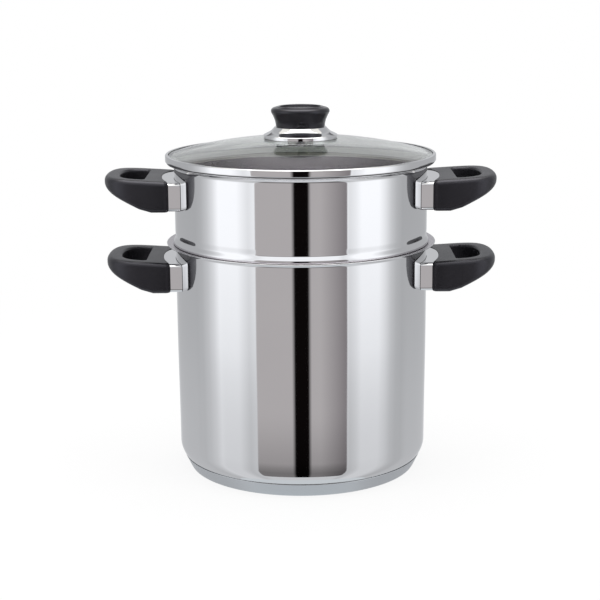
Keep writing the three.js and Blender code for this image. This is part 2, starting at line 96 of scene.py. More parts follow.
class Signal:
    """One output socket. A sum on it adds the nodes that work the sum out."""

    def __init__(self, socket):
        self.socket = socket

    def node(self, kind, settings=None, inputs=None, output=0):
        """Add any node to the same tree: its settings first, then its sockets' values or links."""
        made = self.socket.id_data.nodes.new(kind)
        for name, value in (settings or {}).items():
            if name == "stops":
                set_stops(made.color_ramp, value)
            else:
                setattr(made, name, value)
        for name, value in (inputs or {}).items():
            feed(made.inputs[name], value)
        return Signal(made.outputs[output])

    def others(self):
        """All outputs of this signal's node."""
        return [Signal(socket) for socket in self.socket.node.outputs]

    def worked(self, operation, first, second):
        if self.socket.type == "RGBA":
            settings = {"data_type": "RGBA", "blend_type": operation}
            return self.node("ShaderNodeMix", settings, {0: 1.0, 6: first, 7: second}, 2)
        kind = "ShaderNodeVectorMath" if self.socket.type == "VECTOR" else "ShaderNodeMath"
        return self.node(kind, {"operation": operation}, {0: first, 1: second})

    def __add__(self, other):
        return self.worked("ADD", self, other)

    def __radd__(self, other):
        return self.worked("ADD", other, self)

    def __sub__(self, other):
        return self.worked("SUBTRACT", self, other)

    def __rsub__(self, other):
        return self.worked("SUBTRACT", other, self)

    def __mul__(self, other):
        return self.worked("MULTIPLY", self, other)

    def __rmul__(self, other):
        return self.worked("MULTIPLY", other, self)

    def __truediv__(self, other):
        return self.worked("DIVIDE", self, other)

    def __rtruediv__(self, other):
        return self.worked("DIVIDE", other, self)

    def __pow__(self, other):
        return self.worked("POWER", self, other)

    def __abs__(self):
        return self.worked("ABSOLUTE", self, 0.0)


print("a signal can be added, multiplied, divided and raised to a power")

# %% [markdown]
# ## Masks, noise and a blank finish
# Every finish below needs the same few things: a soft step, a mix of two colours, cloudy noise and a
# bump. They could be written out in each finish, but as small functions they keep a finish down to a
# few lines that read as its recipe.

# %% Small tools for finishes
def set_stops(ramp, stops):
    """Give a colour ramp its stops, as pairs of place and colour."""
    while len(ramp.elements) < len(stops):
        ramp.elements.new(1.0)
    for element, (place, colour) in zip(ramp.elements, stops):
        element.position = place
        element.color = (*colour, 1.0)


def rising(signal, low, high, start=0.0, end=1.0):
    """A smooth step from start to end while the signal goes from low to high."""
    inputs = {"Value": signal, "From Min": low, "From Max": high, "To Min": start, "To Max": end}
    return signal.node("ShaderNodeMapRange", {"interpolation_type": "SMOOTHSTEP"}, inputs)


def blend(mask, first, second):
    """The first colour where the mask is 0 and the second where it is 1."""
    return mask.node("ShaderNodeMix", {"data_type": "RGBA"}, {0: mask, 6: first, 7: second}, 2)


def noise(place, scale, detail):
    """Cloudy noise around one half, with features of about one part in scale of a metre."""
    return place.node("ShaderNodeTexNoise", None, {"Vector": place, "Scale": scale, "Detail": detail})


def new_finish(name, constants):
    """A material, the sockets of its Principled shader, and the place on the piece."""
    material = bpy.data.materials.new(name)
    material.use_nodes = True
    tree = material.node_tree
    sockets = tree.nodes["Principled BSDF"].inputs
    for socket, value in constants.items():
        feed(sockets[socket], value)
    return material, sockets, Signal(tree.nodes.new("ShaderNodeTexCoord").outputs["Object"])


def bump(height, strength, distance):
    """Turn a height signal into a normal."""
    inputs = {"Strength": strength, "Distance": distance, "Height": height}
    return height.node("ShaderNodeBump", None, inputs)


print("tools for finishes are ready")

# %% [markdown]
# ## Polished steel
# The vessels are deep-drawn stainless steel, mirror polished on a turning spindle. Up close a mirror
# finish still has very fine lines around the axis and a slow cloudiness from the buffing wheel. An
# anisotropic shader could fake the lines, but noise that is stretched around the axis also breaks up
# the gloss the way real lines do. The unit direction from the axis is used in place of an angle, so
# the pattern has no seam.

# %% Make the polished finish
AXIS_GAP = 1e-5
POLISH_DARK = (0.79, 0.79, 0.80)
POLISH_LIGHT = (0.82, 0.82, 0.825)


def turning_lines(place, around, across):
    """Noise drawn out around the vertical axis, for lines that a spindle leaves."""
    x, y, z = place.node("ShaderNodeSeparateXYZ", None, {"Vector": place}).others()
    radius = (x * x + y * y) ** 0.5 + AXIS_GAP
    inputs = {"X": x / radius * around, "Y": y / radius * around, "Z": (z + radius) * across}
    wound = place.node("ShaderNodeCombineXYZ", None, inputs)
    return noise(wound, scale=1.0, detail=3.0)


def polished_steel():
    finish, sockets, place = new_finish("polished_steel", {"Metallic": 1.0})
    lines = turning_lines(place, around=2.0, across=2400.0)
    cloud = noise(place, scale=22.0, detail=3.0)
    feed(sockets["Roughness"], 0.02 + lines * 0.025 + cloud * 0.02)
    feed(sockets["Base Color"], blend(cloud, POLISH_DARK, POLISH_LIGHT))
    feed(sockets["Normal"], bump(lines, strength=0.02, distance=0.0001))
    return finish


steel = polished_steel()
print("made", steel.name)

# %% [markdown]
# ## Satin steel
# The base cap, the insides and the small fittings aren't mirror bright: they keep the lines of a
# brush. It is the same stretched noise, coarser and stronger, and a rougher shader. The lid's band is
# rougher on its folded inner edge, where a near-white colour is painted on as light, and it is painted
# dark below, a painted shadow where it sits on the steamer. The steamer's mouth has painted bands of
# light and shade towards its lip. An image could paint such rings, but heights from which the next
# shade starts are enough.

# %% Make the satin finishes
BRUSH_SHADE = 0.93
RING_SOFT = 0.15


def satin_steel(name, shade, roughness, rings=()):
    """Brushed steel. Each ring is a height from which a painted shade and a roughness start."""
    finish, sockets, place = new_finish(name, {"Metallic": 1.0})
    height = place.node("ShaderNodeSeparateXYZ", None, {"Vector": place}).others()[2]
    lines = turning_lines(place, around=3.0, across=1500.0)
    broad = turning_lines(place, around=1.0, across=220.0)
    brushed = lines * 0.6 + broad * 0.4
    colour = blend(brushed, [BRUSH_SHADE * value for value in shade], shade)
    rough = roughness - 0.06 + lines * 0.10 + broad * 0.04
    # The rings paint bands of light and shade onto the surface by height.
    for start, ring_shade, ring_roughness in rings:
        above = rising(height, (start - RING_SOFT) * MM, (start + RING_SOFT) * MM)
        colour = blend(above, colour, ring_shade)
        rough = rough + above * (ring_roughness - rough)
    feed(sockets["Base Color"], colour)
    feed(sockets["Roughness"], rough)
    feed(sockets["Normal"], bump(lines, strength=0.10, distance=0.0002))
    return finish


satin = satin_steel("satin_steel", (0.66, 0.68, 0.70), 0.34)
inside_steel = satin_steel("inside_steel", (0.62, 0.59, 0.62), 0.24)
# The folded edge is rougher satin, with a near-white colour that is painted light.
folded_steel_painted_light = satin_steel("folded_steel_painted_light", (0.92, 0.94, 0.90), 0.75)
# Painted shade: a dark steel for the band's underside, standing in for the shadow where it sits on the
# steamer.
painted_shade_steel = satin_steel("painted_shade_steel", (0.12, 0.115, 0.12), 0.50)
print("made", satin.name, inside_steel.name, folded_steel_painted_light.name, painted_shade_steel.name)

# %% [markdown]
# ## Dark resin
# Grips and knob are moulded from phenolic resin, which stays cool and doesn't melt. The mould gives a
# fine even grain, and handling polishes it a little in places. The knob is touched most, and it is the
# glossier of the two. Voronoi cells could draw the grain, but plain noise at a third of a millimetre is
# closer to a spark-eroded mould.

# %% Make the resin
SHEEN_TINT = (0.98, 0.96, 1.10)
RESIN_DARK = (0.0095, 0.0092, 0.0108)
RESIN_LIGHT = (0.0140, 0.0136, 0.0156)


def dark_resin(name, index, roughness):
    finish, sockets, place = new_finish(name, {"IOR": index, "Specular Tint": SHEEN_TINT})
    grain = noise(place, scale=2600.0, detail=2.0)
    handled = noise(place, scale=38.0, detail=3.0)
    feed(sockets["Base Color"], blend(handled, RESIN_DARK, RESIN_LIGHT))
    feed(sockets["Roughness"], roughness + grain * 0.08 + handled * 0.10)
    feed(sockets["Normal"], bump(grain, strength=0.18, distance=0.0002))
    return finish


resin = dark_resin("dark_resin", index=1.45, roughness=0.24)
glossy_resin = dark_resin("glossy_resin", index=1.46, roughness=0.08)
print("made", resin.name, glossy_resin.name)

# %% [markdown]
# ## Lid glass
# The lid is tempered glass, faintly green, and the tempering leaves slow waves that bend what it
# mirrors. A transparent mix would lose the bending at the brim, so the Principled shader's own
# transmission is used, with the waves as a very soft bump.

# %% Make the glass
FAINT_GREEN = (0.93, 0.965, 0.945)


def lid_glass():
    constants = {"Base Color": FAINT_GREEN, "Transmission Weight": 1.0, "IOR": 1.5}
    finish, sockets, place = new_finish("lid_glass", constants)
    waves = noise(place, scale=9.0, detail=1.0)
    film = noise(place, scale=60.0, detail=3.0)
    feed(sockets["Roughness"], film * 0.02)
    feed(sockets["Normal"], bump(waves, strength=0.10, distance=0.004))
    return finish


glass = lid_glass()
print("made", glass.name)

# %% [markdown]
# ## Fittings
# A few pieces are hidden most of the time: the aluminium core of the base, the brass bush in the knob
# and the grey silicone washer under the glass. They get their own finish all the same, because they
# show when the part is taken to pieces.

# %% Make the hidden finishes
MOTTLE_SHADE = 0.88


def fitting(name, constants, shade, roughness, scale):
    finish, sockets, place = new_finish(name, constants)
    mottle = noise(place, scale, detail=3.0)
    dark = tuple(MOTTLE_SHADE * value for value in shade)
    feed(sockets["Base Color"], blend(mottle, dark, shade))
    feed(sockets["Roughness"], roughness - 0.05 + mottle * 0.10)
    feed(sockets["Normal"], bump(mottle, strength=0.05, distance=0.0002))
    return finish


aluminium = fitting("aluminium_core", {"Metallic": 1.0}, (0.74, 0.75, 0.76), 0.42, 300.0)
brass = fitting("brass_insert", {"Metallic": 1.0}, (0.69, 0.55, 0.29), 0.30, 500.0)
silicone = fitting("silicone", {}, (0.45, 0.46, 0.47), 0.62, 900.0)
print("made", aluminium.name, brass.name, silicone.name)

# %% [markdown]
# ## Turned shapes
# Most of this object is turned: one profile swept round the axis. Blender's Screw modifier does that
# too, but a few lines of mesh code keep the profile in view, put a single point on the axis and let
# the floor be left open for the steam holes. The pen below draws a profile from straight lines, arcs
# and one kind of curve, so each outline has only the points that its shape needs.

# %% A pen for profiles
SAME_POINT = 1e-4


class Outline:
    """A profile of (radius, height) points in millimetres, drawn counter-clockwise."""

    def __init__(self, radius, height):
        self.points = [(radius, height)]

    def line(self, radius, height):
        if math.dist(self.points[-1], (radius, height)) > SAME_POINT:
            self.points.append((radius, height))
        return self

    def arc(self, centre, radius, start, end, step=5.0):
        """A round stretch about a centre between two angles in degrees."""
        count = max(2, math.ceil(abs(end - start) / step))
        for i in range(count + 1):
            angle = math.radians(start + (end - start) * i / count)
            self.line(centre[0] + radius * math.cos(angle), centre[1] + radius * math.sin(angle))
        return self

    def curve(self, first, second, end, count=14):
        """A Bezier stretch with two handles."""
        start = Vector(self.points[-1])
        first, second, end = Vector(first), Vector(second), Vector(end)
        for i in range(1, count + 1):
            t = i / count
            s = 1 - t
            point = start * s ** 3 + first * (3 * s * s * t) + second * (3 * s * t * t) + end * t ** 3
            self.line(*point)
        return self


print("the pen draws lines, arcs and curves")

# %% [markdown]
# ## Lathe
# The lathe joins one ring of points to the next and notes which finish each strip takes. What comes
# off it becomes a piece: it rides on a body, and the plain solid it stands for is hidden. A
# piece that hardly shows keeps its solid and only gets a finish.

# %% Turn profiles and hand in pieces
ON_AXIS = 1e-6
CREASE = math.radians(32.0)


def ring_of(bm, radius, height, segments, centre=(0.0, 0.0)):
    """Points round a circle, or a single point on the axis."""
    if radius < ON_AXIS:
        return [bm.verts.new((centre[0] * MM, centre[1] * MM, height * MM))]
    ring = []
    for i in range(segments):
        angle = 2 * math.pi * i / segments
        x = centre[0] + radius * math.cos(angle)
        y = centre[1] + radius * math.sin(angle)
        ring.append(bm.verts.new((x * MM, y * MM, height * MM)))
    return ring


def join_rings(bm, low, high, finish=0):
    """Faces between two rings of points; either may be a single point."""
    count = max(len(low), len(high))
    for i in range(count):
        j = (i + 1) % count
        corners = [low[i % len(low)], low[j % len(low)], high[j % len(high)], high[i % len(high)]]
        face = bm.faces.new(list(dict.fromkeys(corners)))
        face.material_index = finish


def turn(outline, segments, closed=True, marks=()):
    """Turn a profile about the axis. Each mark is a point from which the faces take the next finish."""
    bm = bmesh.new()
    rings = [ring_of(bm, radius, height, segments) for radius, height in outline.points]
    pairs = list(zip(rings, rings[1:]))
    if closed and len(rings[0]) > 1:
        pairs.append((rings[-1], rings[0]))
    for i, (low, high) in enumerate(pairs):
        join_rings(bm, low, high, sum(i >= mark for mark in marks))
    return bm


def add_piece(name, bm, body, finishes, node):
    """Make a mesh a piece that rides on a body and stands for a solid."""
    bmesh.ops.recalc_face_normals(bm, faces=bm.faces)
    mesh = bpy.data.meshes.new(name)
    bm.to_mesh(mesh)
    bm.free()
    mesh.shade_smooth()
    mesh.set_sharp_from_angle(angle=CREASE)
    for finish in finishes:
        mesh.materials.append(finish)
    piece = bpy.data.objects.new(name, mesh)
    bpy.context.scene.collection.objects.link(piece)
    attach(piece, body)
    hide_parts(node)
    print("made", name, "with", len(mesh.polygons), "faces on", body)


def dress(node, finish):
    """Give a solid that stays as it is a finish."""
    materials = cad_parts[node].data.materials
    materials.clear()
    materials.append(finish)
    print("dressed", node, "in", finish.name)


def corners_of(node):
    """Lowest and highest corner of a solid, in millimetres."""
    low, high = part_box(node)
    return low / MM, high / MM


print("the lathe is ready")

# %% [markdown]
# ## Pot
# The pot is one drawn sheet: floor, corner, wall and a flared lip that pours. Its outside is polished
# and its inside is brushed, so the profile runs up the outside, over the lip and down the inside, and
# the faces after the lip take the second finish. The lip's edge is rounded over, as a rolled and
# ground edge is, because a sharp edge would show as a hard line.

# %% Draw the lip and turn the pot
VESSEL_SEGMENTS = 256
SHEET = 0.8
POT_LIP_REACH = 8.3
POT_LIP_BEND = 3.1
STEAMER_LIP_REACH = 7.0
STEAMER_LIP_BEND = 5.0
LIP_TURN = 80.2
POT_CORNER = 20.5
POT_TAPER = 0.8
POT_TAPER_TOP = 140.0

pot_low, pot_high = corners_of("pot_body")
wall = pot_high.x - POT_LIP_REACH
inner_wall = wall - SHEET


def lip_centre(top, reach, bend):
    """Centre of the bend below a lip, and the straight edge after the bend."""
    turn_angle = math.radians(LIP_TURN)
    edge = (reach - bend * (1 - math.cos(turn_angle))) / math.sin(turn_angle)
    rise = (bend + SHEET) * math.sin(turn_angle) + edge * math.cos(turn_angle)
    return (wall + bend, top - rise), edge


def draw_lip(outline, top, reach, bend):
    """Up the outside of a lip, round its edge and back down to the wall's inside."""
    centre, edge = lip_centre(top, reach, bend)
    turn_angle = math.radians(LIP_TURN)
    outwards = Vector((math.sin(turn_angle), math.cos(turn_angle)))
    through = Vector((-math.cos(turn_angle), math.sin(turn_angle)))
    outline.arc(centre, bend, 180, 180 - LIP_TURN)
    middle = Vector(outline.points[-1]) + outwards * (edge - SHEET / 2) + through * (SHEET / 2)
    outline.arc(middle, SHEET / 2, -LIP_TURN, 180 - LIP_TURN, step=30)
    over_the_edge = len(outline.points) - 1
    outline.arc(centre, bend + SHEET, 180 - LIP_TURN, 180)
    return over_the_edge


def pot_profile():
    foot = wall - POT_TAPER
    corner = (foot - POT_CORNER, pot_low.z + POT_CORNER)
    third = (POT_TAPER_TOP - corner[1]) / 3
    outline = Outline(0, pot_low.z)
    outline.arc(corner, POT_CORNER, -90, 0)
    outline.curve((foot, corner[1] + third), (wall, POT_TAPER_TOP - third), (wall, POT_TAPER_TOP))
    inside = draw_lip(outline, pot_high.z, POT_LIP_REACH, POT_LIP_BEND)
    outline.line(inner_wall, POT_TAPER_TOP)
    inner_foot = foot - SHEET
    inner_end = (inner_foot, corner[1])
    outline.curve((inner_wall, POT_TAPER_TOP - third), (inner_foot, corner[1] + third), inner_end)
    outline.arc(corner, POT_CORNER - SHEET, 0, -90)
    outline.line(0, pot_low.z + SHEET)
    return outline, inside


profile, over = pot_profile()
pot_shell = turn(profile, VESSEL_SEGMENTS, marks=[over])
add_piece("pot_shell", pot_shell, "pot", [steel, inside_steel], "pot_body")

# %% [markdown]
# ## Base
# Under the pot a disc of aluminium spreads the heat, and a steel cup pressed over it closes the base.
# Only the cup shows, with a thin dark joint where its edge meets the pot. It is turned from the same
# kind of profile. The core keeps its solid and gets a finish.

# %% Turn the base cap
CAP_SHEET = 0.6
CAP_DRAFT = 4.4
CAP_CHAMFER = 3.6
CAP_SOFT = 1.0

cap_low, cap_high = corners_of("base_cap")


def cap_profile():
    """A flat, a soft corner and a side that leans out to the edge under the pot's corner."""
    lip = CAP_SHEET / 2
    edge = Vector((cap_high.x, cap_high.z - 2 * lip))
    foot = Vector((cap_high.x - CAP_DRAFT, CAP_CHAMFER))
    flat = foot.x - CAP_CHAMFER
    lean = (edge - foot).normalized() * CAP_SOFT
    outline = Outline(0, cap_low.z).line(flat - CAP_SOFT, cap_low.z)
    outline.curve((flat + 2 * CAP_SOFT, cap_low.z), foot - 3 * lean, foot + 2 * lean)
    outline.line(*edge)
    outside = outline.points[1:-1]
    outline.arc(edge - Vector((lip, 0)), lip, 0, 180, step=30)
    for radius, height in reversed(outside):
        outline.line(radius - CAP_SHEET, height + CAP_SHEET * (1 - height / edge.y))
    return outline.line(0, CAP_SHEET)


base_cup = turn(cap_profile(), VESSEL_SEGMENTS)
add_piece("base_cup", base_cup, "pot", [satin], "base_cap")
dress("base_core", aluminium)

# %% [markdown]
# ## Steamer
# The steamer's wall is as wide as the pot's. Low on it a bead swells out and sits in the pot's flare,
# and below the bead a narrower skirt hangs into the pot and ends in a floor full of holes. Just above
# the bead the wall draws in by a quarter of a millimetre, enough to mirror the pot's grips as two dark
# ovals. A boolean could drill the holes, but it leaves long slivers in the floor. Here the floor is
# filled between its edge and the rims of all holes at once, above and below, and each hole gets its
# own wall.

# %% Turn the wall and fill the floor
BEAD_REACH = 1.9
BEAD_BEND = 1.6
BEAD_HEIGHT = 1.2
NECK_DEPTH = 0.26
NECK_RISE = 4.8
NECK_LENGTH = 5.5
NECK_BEND = 0.96
NECK_EASE = 1.375
SKIRT_CLEARANCE = 0.9
SKIRT_CORNER = 10.0
SEAT_GAP = 0.3
HOLE_RADIUS = 3.0
HOLE_PITCH = 18.0
HOLE_ROWS = 5
HOLES_PER_ROW = 6
HOLE_SIDES = 24
WELD = 1e-7

# Painted light in the steamer's mouth, by height: a painted highlight from 288 mm, a painted olive
# reflection above it, a painted shadow line under the lid's turned-down edge from 291.5 mm, then
# brighter steel.
MOUTH_PAINTED_BANDS = [
    (288.0, (0.95, 0.93, 0.89), 0.70),
    (288.9, (0.66, 0.66, 0.58), 0.55),
    (291.5, (0.10, 0.10, 0.09), 0.50),
    (292.0, (0.80, 0.80, 0.81), 0.20),
]

mouth_steel_painted_bands = satin_steel("mouth_steel_painted_bands", (0.62, 0.59, 0.62), 0.24, MOUTH_PAINTED_BANDS)
steamer_low, steamer_high = corners_of("steamer_body")
skirt = inner_wall - SKIRT_CLEARANCE
floor_edge = skirt - SKIRT_CORNER


def steamer_profile():
    low = steamer_low.z
    bead = wall + BEAD_REACH
    bead_centre = bead - BEAD_BEND
    flare, _ = lip_centre(pot_high.z, POT_LIP_REACH, POT_LIP_BEND)
    seated = POT_LIP_BEND + SHEET + SEAT_GAP + BEAD_BEND
    bead_base = flare[1] + math.sqrt(seated ** 2 - (flare[0] - bead_centre) ** 2)
    bead_top = bead_base + BEAD_HEIGHT
    neck_height = bead_top + NECK_RISE
    shoulder = neck_height + NECK_LENGTH
    bend = (floor_edge, low + SKIRT_CORNER)
    outline = Outline(floor_edge, low)
    outline.arc(bend, SKIRT_CORNER, -90, 0)
    outline.line(skirt, bead_base - BEAD_BEND)
    outline.arc((bead_centre, bead_base), BEAD_BEND, -90, 0)
    outline.line(bead, bead_top)
    neck = wall - NECK_DEPTH
    below_neck = neck_height - NECK_BEND
    above_neck = neck_height + NECK_EASE
    low_shoulder = shoulder - NECK_EASE
    off_bead = bead_top + NECK_BEND
    outline.curve((bead, off_bead), (neck, below_neck), (neck, neck_height), count=20)
    outline.curve((neck, above_neck), (wall, low_shoulder), (wall, shoulder), count=16)
    inside = draw_lip(outline, steamer_high.z, STEAMER_LIP_REACH, STEAMER_LIP_BEND)
    outline.line(inner_wall, shoulder)
    inner_bead = bead - SHEET
    neck = inner_wall - NECK_DEPTH
    outline.curve((inner_wall, low_shoulder), (neck, above_neck), (neck, neck_height), count=16)
    outline.curve((neck, below_neck), (inner_bead, off_bead), (inner_bead, bead_top), count=20)
    outline.arc((bead_centre, bead_base), BEAD_BEND - SHEET, 0, -90)
    outline.line(skirt - SHEET, bead_base - BEAD_BEND + SHEET)
    outline.arc(bend, SKIRT_CORNER - SHEET, 0, -90)
    return outline, inside


def hole_centres():
    """A middle hole, then rings of six, twelve and so on around it."""
    centres = [(0.0, 0.0)]
    for row in range(1, HOLE_ROWS + 1):
        count = HOLES_PER_ROW * row
        for i in range(count):
            angle = 2 * math.pi * i / count
            centres.append((row * HOLE_PITCH * math.cos(angle), row * HOLE_PITCH * math.sin(angle)))
    return centres


def fill_floor(bm, height, finish):
    """One face of the perforated floor. Returns the rims of its holes."""
    rims = [ring_of(bm, HOLE_RADIUS, height, HOLE_SIDES, centre) for centre in hole_centres()]
    outer = ring_of(bm, floor_edge, height, VESSEL_SEGMENTS)
    edges = []
    for ring in [outer, *rims]:
        for i, point in enumerate(ring):
            edges.append(bm.edges.new((point, ring[(i + 1) % len(ring)])))
    filled = bmesh.ops.triangle_fill(bm, use_beauty=True, use_dissolve=False, edges=edges)
    for item in filled["geom"]:
        if isinstance(item, bmesh.types.BMFace):
            item.material_index = finish
    return rims


profile, over = steamer_profile()
shell = turn(profile, VESSEL_SEGMENTS, closed=False, marks=[over])
below = fill_floor(shell, steamer_low.z, 0)
above = fill_floor(shell, steamer_low.z + SHEET, 1)
for lower_rim, upper_rim in zip(below, above):
    join_rings(shell, lower_rim, upper_rim, 1)
bmesh.ops.remove_doubles(shell, verts=shell.verts, dist=WELD)
add_piece("steamer_shell", shell, "steamer", [steel, mouth_steel_painted_bands], "steamer_body")
print("steam holes:", len(above))

# %% [markdown]
# ## Lid
# The lid is a low dome of glass in a folded steel band. The band covers the glass's brim above and
# below, and its inner edge turns down into the steamer's mouth, so that the lid can't slide off. Sheet
# of that kind is rolled and folded on the glass. Here the fold is drawn as one closed profile, which
# keeps the underside, painted dark as a shadow, the polished outside, and the inner edge, painted near
# white as light, apart by marks on it.

# %% Turn the band and the glass
BAND_SHEET = 0.6
BAND_WIDTH = 2.9
BAND_CORNER = 1.25
BAND_PAINTED_SHADE_END = -40
CENTRING_DEPTH = 6.0
CENTRING_CLEARANCE = 1.2
GLASS_THICKNESS = 5.0
DOME_RISE = 16.1
GLASS_HOLE = 4.0
DOME_STEP = 0.5

rim_low, rim_high = corners_of("lid_rim")
glass_low, glass_high = corners_of("lid_glass")
band = rim_high.x
band_inner = band - BAND_WIDTH
seat = rim_low.z + CENTRING_DEPTH
brim_top = glass_low.z + GLASS_THICKNESS
dome_radius = band_inner - SEAT_GAP
dome_sphere = (dome_radius ** 2 + DOME_RISE ** 2) / (2 * DOME_RISE)
dome_centre = brim_top + DOME_RISE - dome_sphere
under_sphere = dome_sphere - GLASS_THICKNESS


def rim_profile():
    edge = inner_wall - CENTRING_CLEARANCE
    top = rim_high.z
    lip = BAND_SHEET / 2
    inner_corner = BAND_CORNER - BAND_SHEET
    outline = Outline(edge, rim_low.z + lip).line(edge, seat)
    low_corner = (band - BAND_CORNER, seat + BAND_CORNER)
    # The underside and the lower corner up to this angle are painted dark, a painted shadow where the
    # band sits on the steamer.
    outline.arc(low_corner, BAND_CORNER, -90, BAND_PAINTED_SHADE_END, step=10)
    marks = [len(outline.points) - 1]
    outline.arc(low_corner, BAND_CORNER, BAND_PAINTED_SHADE_END, 0, step=10)
    high_corner = (band - BAND_CORNER, top - BAND_CORNER)
    outline.arc(high_corner, BAND_CORNER, 0, 90, step=10)
    outline.arc((band_inner + lip, top - lip), lip, 90, 270, step=30)
    outline.arc(high_corner, inner_corner, 90, 0, step=30)
    outline.arc(low_corner, inner_corner, 0, -90, step=30)
    outline.line(edge - BAND_SHEET, seat + BAND_SHEET)
    # From this point the turned-down edge's inner face is painted near white, as painted light.
    marks.append(len(outline.points) - 1)
    outline.line(edge - BAND_SHEET, rim_low.z + lip)
    outline.curve((edge - BAND_SHEET, rim_low.z), (edge, rim_low.z), (edge, rim_low.z + lip), count=6)
    outline.points.pop()
    return outline, marks


def angle_on(sphere, radius):
    return math.degrees(math.acos(radius / sphere))


def glass_profile():
    brim = glass_high.x
    under_end = math.degrees(math.asin((glass_low.z - dome_centre) / under_sphere))
    middle = (0, dome_centre)
    outline = Outline(GLASS_HOLE, dome_centre + math.sqrt(under_sphere ** 2 - GLASS_HOLE ** 2))
    outline.arc(middle, under_sphere, angle_on(under_sphere, GLASS_HOLE), under_end, DOME_STEP)
    outline.line(brim, glass_low.z).line(brim, brim_top)
    brim_angle = angle_on(dome_sphere, dome_radius)
    outline.arc(middle, dome_sphere, brim_angle, angle_on(dome_sphere, GLASS_HOLE), DOME_STEP)
    return outline


profile, marks = rim_profile()
lid_band = turn(profile, VESSEL_SEGMENTS, marks=marks)
add_piece("lid_band", lid_band, "lid", [painted_shade_steel, steel, folded_steel_painted_light], "lid_rim")
lid_dome = turn(glass_profile(), VESSEL_SEGMENTS)
add_piece("lid_dome", lid_dome, "lid", [glass], "lid_glass")

# %% [markdown]
# ## Knob
# The knob is a resin grip on a polished cone. A screw from below passes through the glass, the cone
# and a brass bush in the resin, with a silicone washer between steel and glass. The cone is a bent
# sheet, so its bends are rounded, and the grip's side swells in one smooth curve up to a raised ring
# around a shallow dish. Sculpting could make such a knob too, but a turned profile keeps it round.

# %% Turn the cone and the grip
KNOB_SEGMENTS = 128
CONE_TOP = 24.4
CONE_FOOT = 3.0
CONE_LEAN_TOP = 40.0
CONE_LEAN_FOOT = 64.0
CONE_PULL = 5.4
CONE_BEND = 1.6
CONE_EDGE = 0.4
CONE_SHEET = 1.0
SCREW_HOLE = 2.4
KNOB_NECK = 23.2
KNOB_EDGE = 0.5
KNOB_SWELL = 6.0
KNOB_WIDEST = 14.4
KNOB_MEET = 0.6
KNOB_LEAN = 27.0
KNOB_SHOULDER = Vector((24.0, 0.9))
KNOB_RING = 20.8
KNOB_RING_WIDTH = 3.2
KNOB_DISH = 1.8

cone_low, cone_high = corners_of("knob_skirt")
knob_low, knob_high = corners_of("knob_grip")
bush_low, bush_high = corners_of("knob_insert")


def down_slope(lean):
    """A unit step down a slope that faces up by an angle in degrees."""
    return Vector((math.sin(math.radians(lean)), -math.cos(math.radians(lean))))


def cone_profile():
    foot = cone_high.x
    top = cone_high.z
    shoulder = Vector((foot, cone_low.z + CONE_FOOT))
    crown = Vector((CONE_TOP, top))
    lower = down_slope(CONE_LEAN_FOOT)
    upper = down_slope(CONE_LEAN_TOP)
    start = shoulder - lower * CONE_BEND
    end = crown + upper * CONE_EDGE
    sheet = Vector((CONE_SHEET, CONE_SHEET))
    outline = Outline(foot - CONE_SHEET, cone_low.z).line(foot, cone_low.z)
    outline.line(foot, shoulder.y - CONE_BEND / 2)
    outline.curve(shoulder, shoulder, start, count=10)
    outline.curve(start - lower * CONE_PULL, end + upper * CONE_PULL, end, count=24)
    outline.curve(crown, crown, (CONE_TOP - CONE_EDGE, top), count=6)
    outline.line(SCREW_HOLE, top).line(SCREW_HOLE, top - CONE_SHEET)
    outline.line(CONE_TOP - CONE_SHEET, top - CONE_SHEET)
    outline.curve(end + upper * CONE_PULL - sheet, start - lower * CONE_PULL - sheet, start - sheet)
    return outline.line(foot - CONE_SHEET, shoulder.y - CONE_SHEET)


def knob_profile():
    bore = bush_high.x + SEAT_GAP
    bore_top = bush_high.z + SEAT_GAP
    radius = knob_high.x
    top = knob_high.z
    widest = knob_low.z + KNOB_WIDEST
    lean = math.radians(KNOB_LEAN)
    shoulder = Vector((KNOB_SHOULDER.x, top - KNOB_SHOULDER.y))
    dish = top - KNOB_DISH
    below = Vector((radius, widest)) - Vector((math.sin(lean), math.cos(lean))) * KNOB_SWELL / 2
    outline = Outline(0, bore_top).line(bore, bore_top).line(bore, knob_low.z)
    outline.line(KNOB_NECK - KNOB_EDGE, knob_low.z).line(KNOB_NECK, knob_low.z + KNOB_EDGE)
    meeting = below.lerp((radius, widest), KNOB_MEET)
    outline.curve((KNOB_NECK, knob_low.z + KNOB_SWELL), below, meeting, count=24)
    outline.curve((radius, widest), (radius, shoulder.y - KNOB_EDGE), shoulder, count=24)
    ring = KNOB_RING + KNOB_EDGE
    outline.curve(shoulder - Vector((KNOB_EDGE, 0)), (ring + KNOB_EDGE, top), (KNOB_RING, top), count=12)
    inner = KNOB_RING - KNOB_RING_WIDTH
    outline.curve((inner, top), (KNOB_RING, dish), (inner, dish), count=16)
    return outline.line(0, dish)


knob_cone = turn(cone_profile(), KNOB_SEGMENTS)
add_piece("knob_cone", knob_cone, "lid", [steel], "knob_skirt")
knob = turn(knob_profile(), KNOB_SEGMENTS)
add_piece("knob", knob, "lid", [glossy_resin], "knob_grip")

# %% [markdown]
# ## Screws, washers and bush
# The fasteners are small, but the ones in the finger windows show from the side. They are turned like
# everything else, with a domed head, and a cross is cut into the head so that it reads as a screw.

# %% Turn the fasteners
FASTENER_SEGMENTS = 48
SCREW_RADIUS = 2.1
HEAD_RADIUS = 4.5
HEAD_HEIGHT = 2.9
RECESS_WIDTH = 1.2
RECESS_LENGTH = 4.6
RECESS_DEPTH = 1.6
CROWN_RADIUS = 2.25
CROWN_RISE = 0.7
HEAD_SIDE = 1.8
TIP_CHAMFER = 0.6
WASHER_SOFT = 0.15


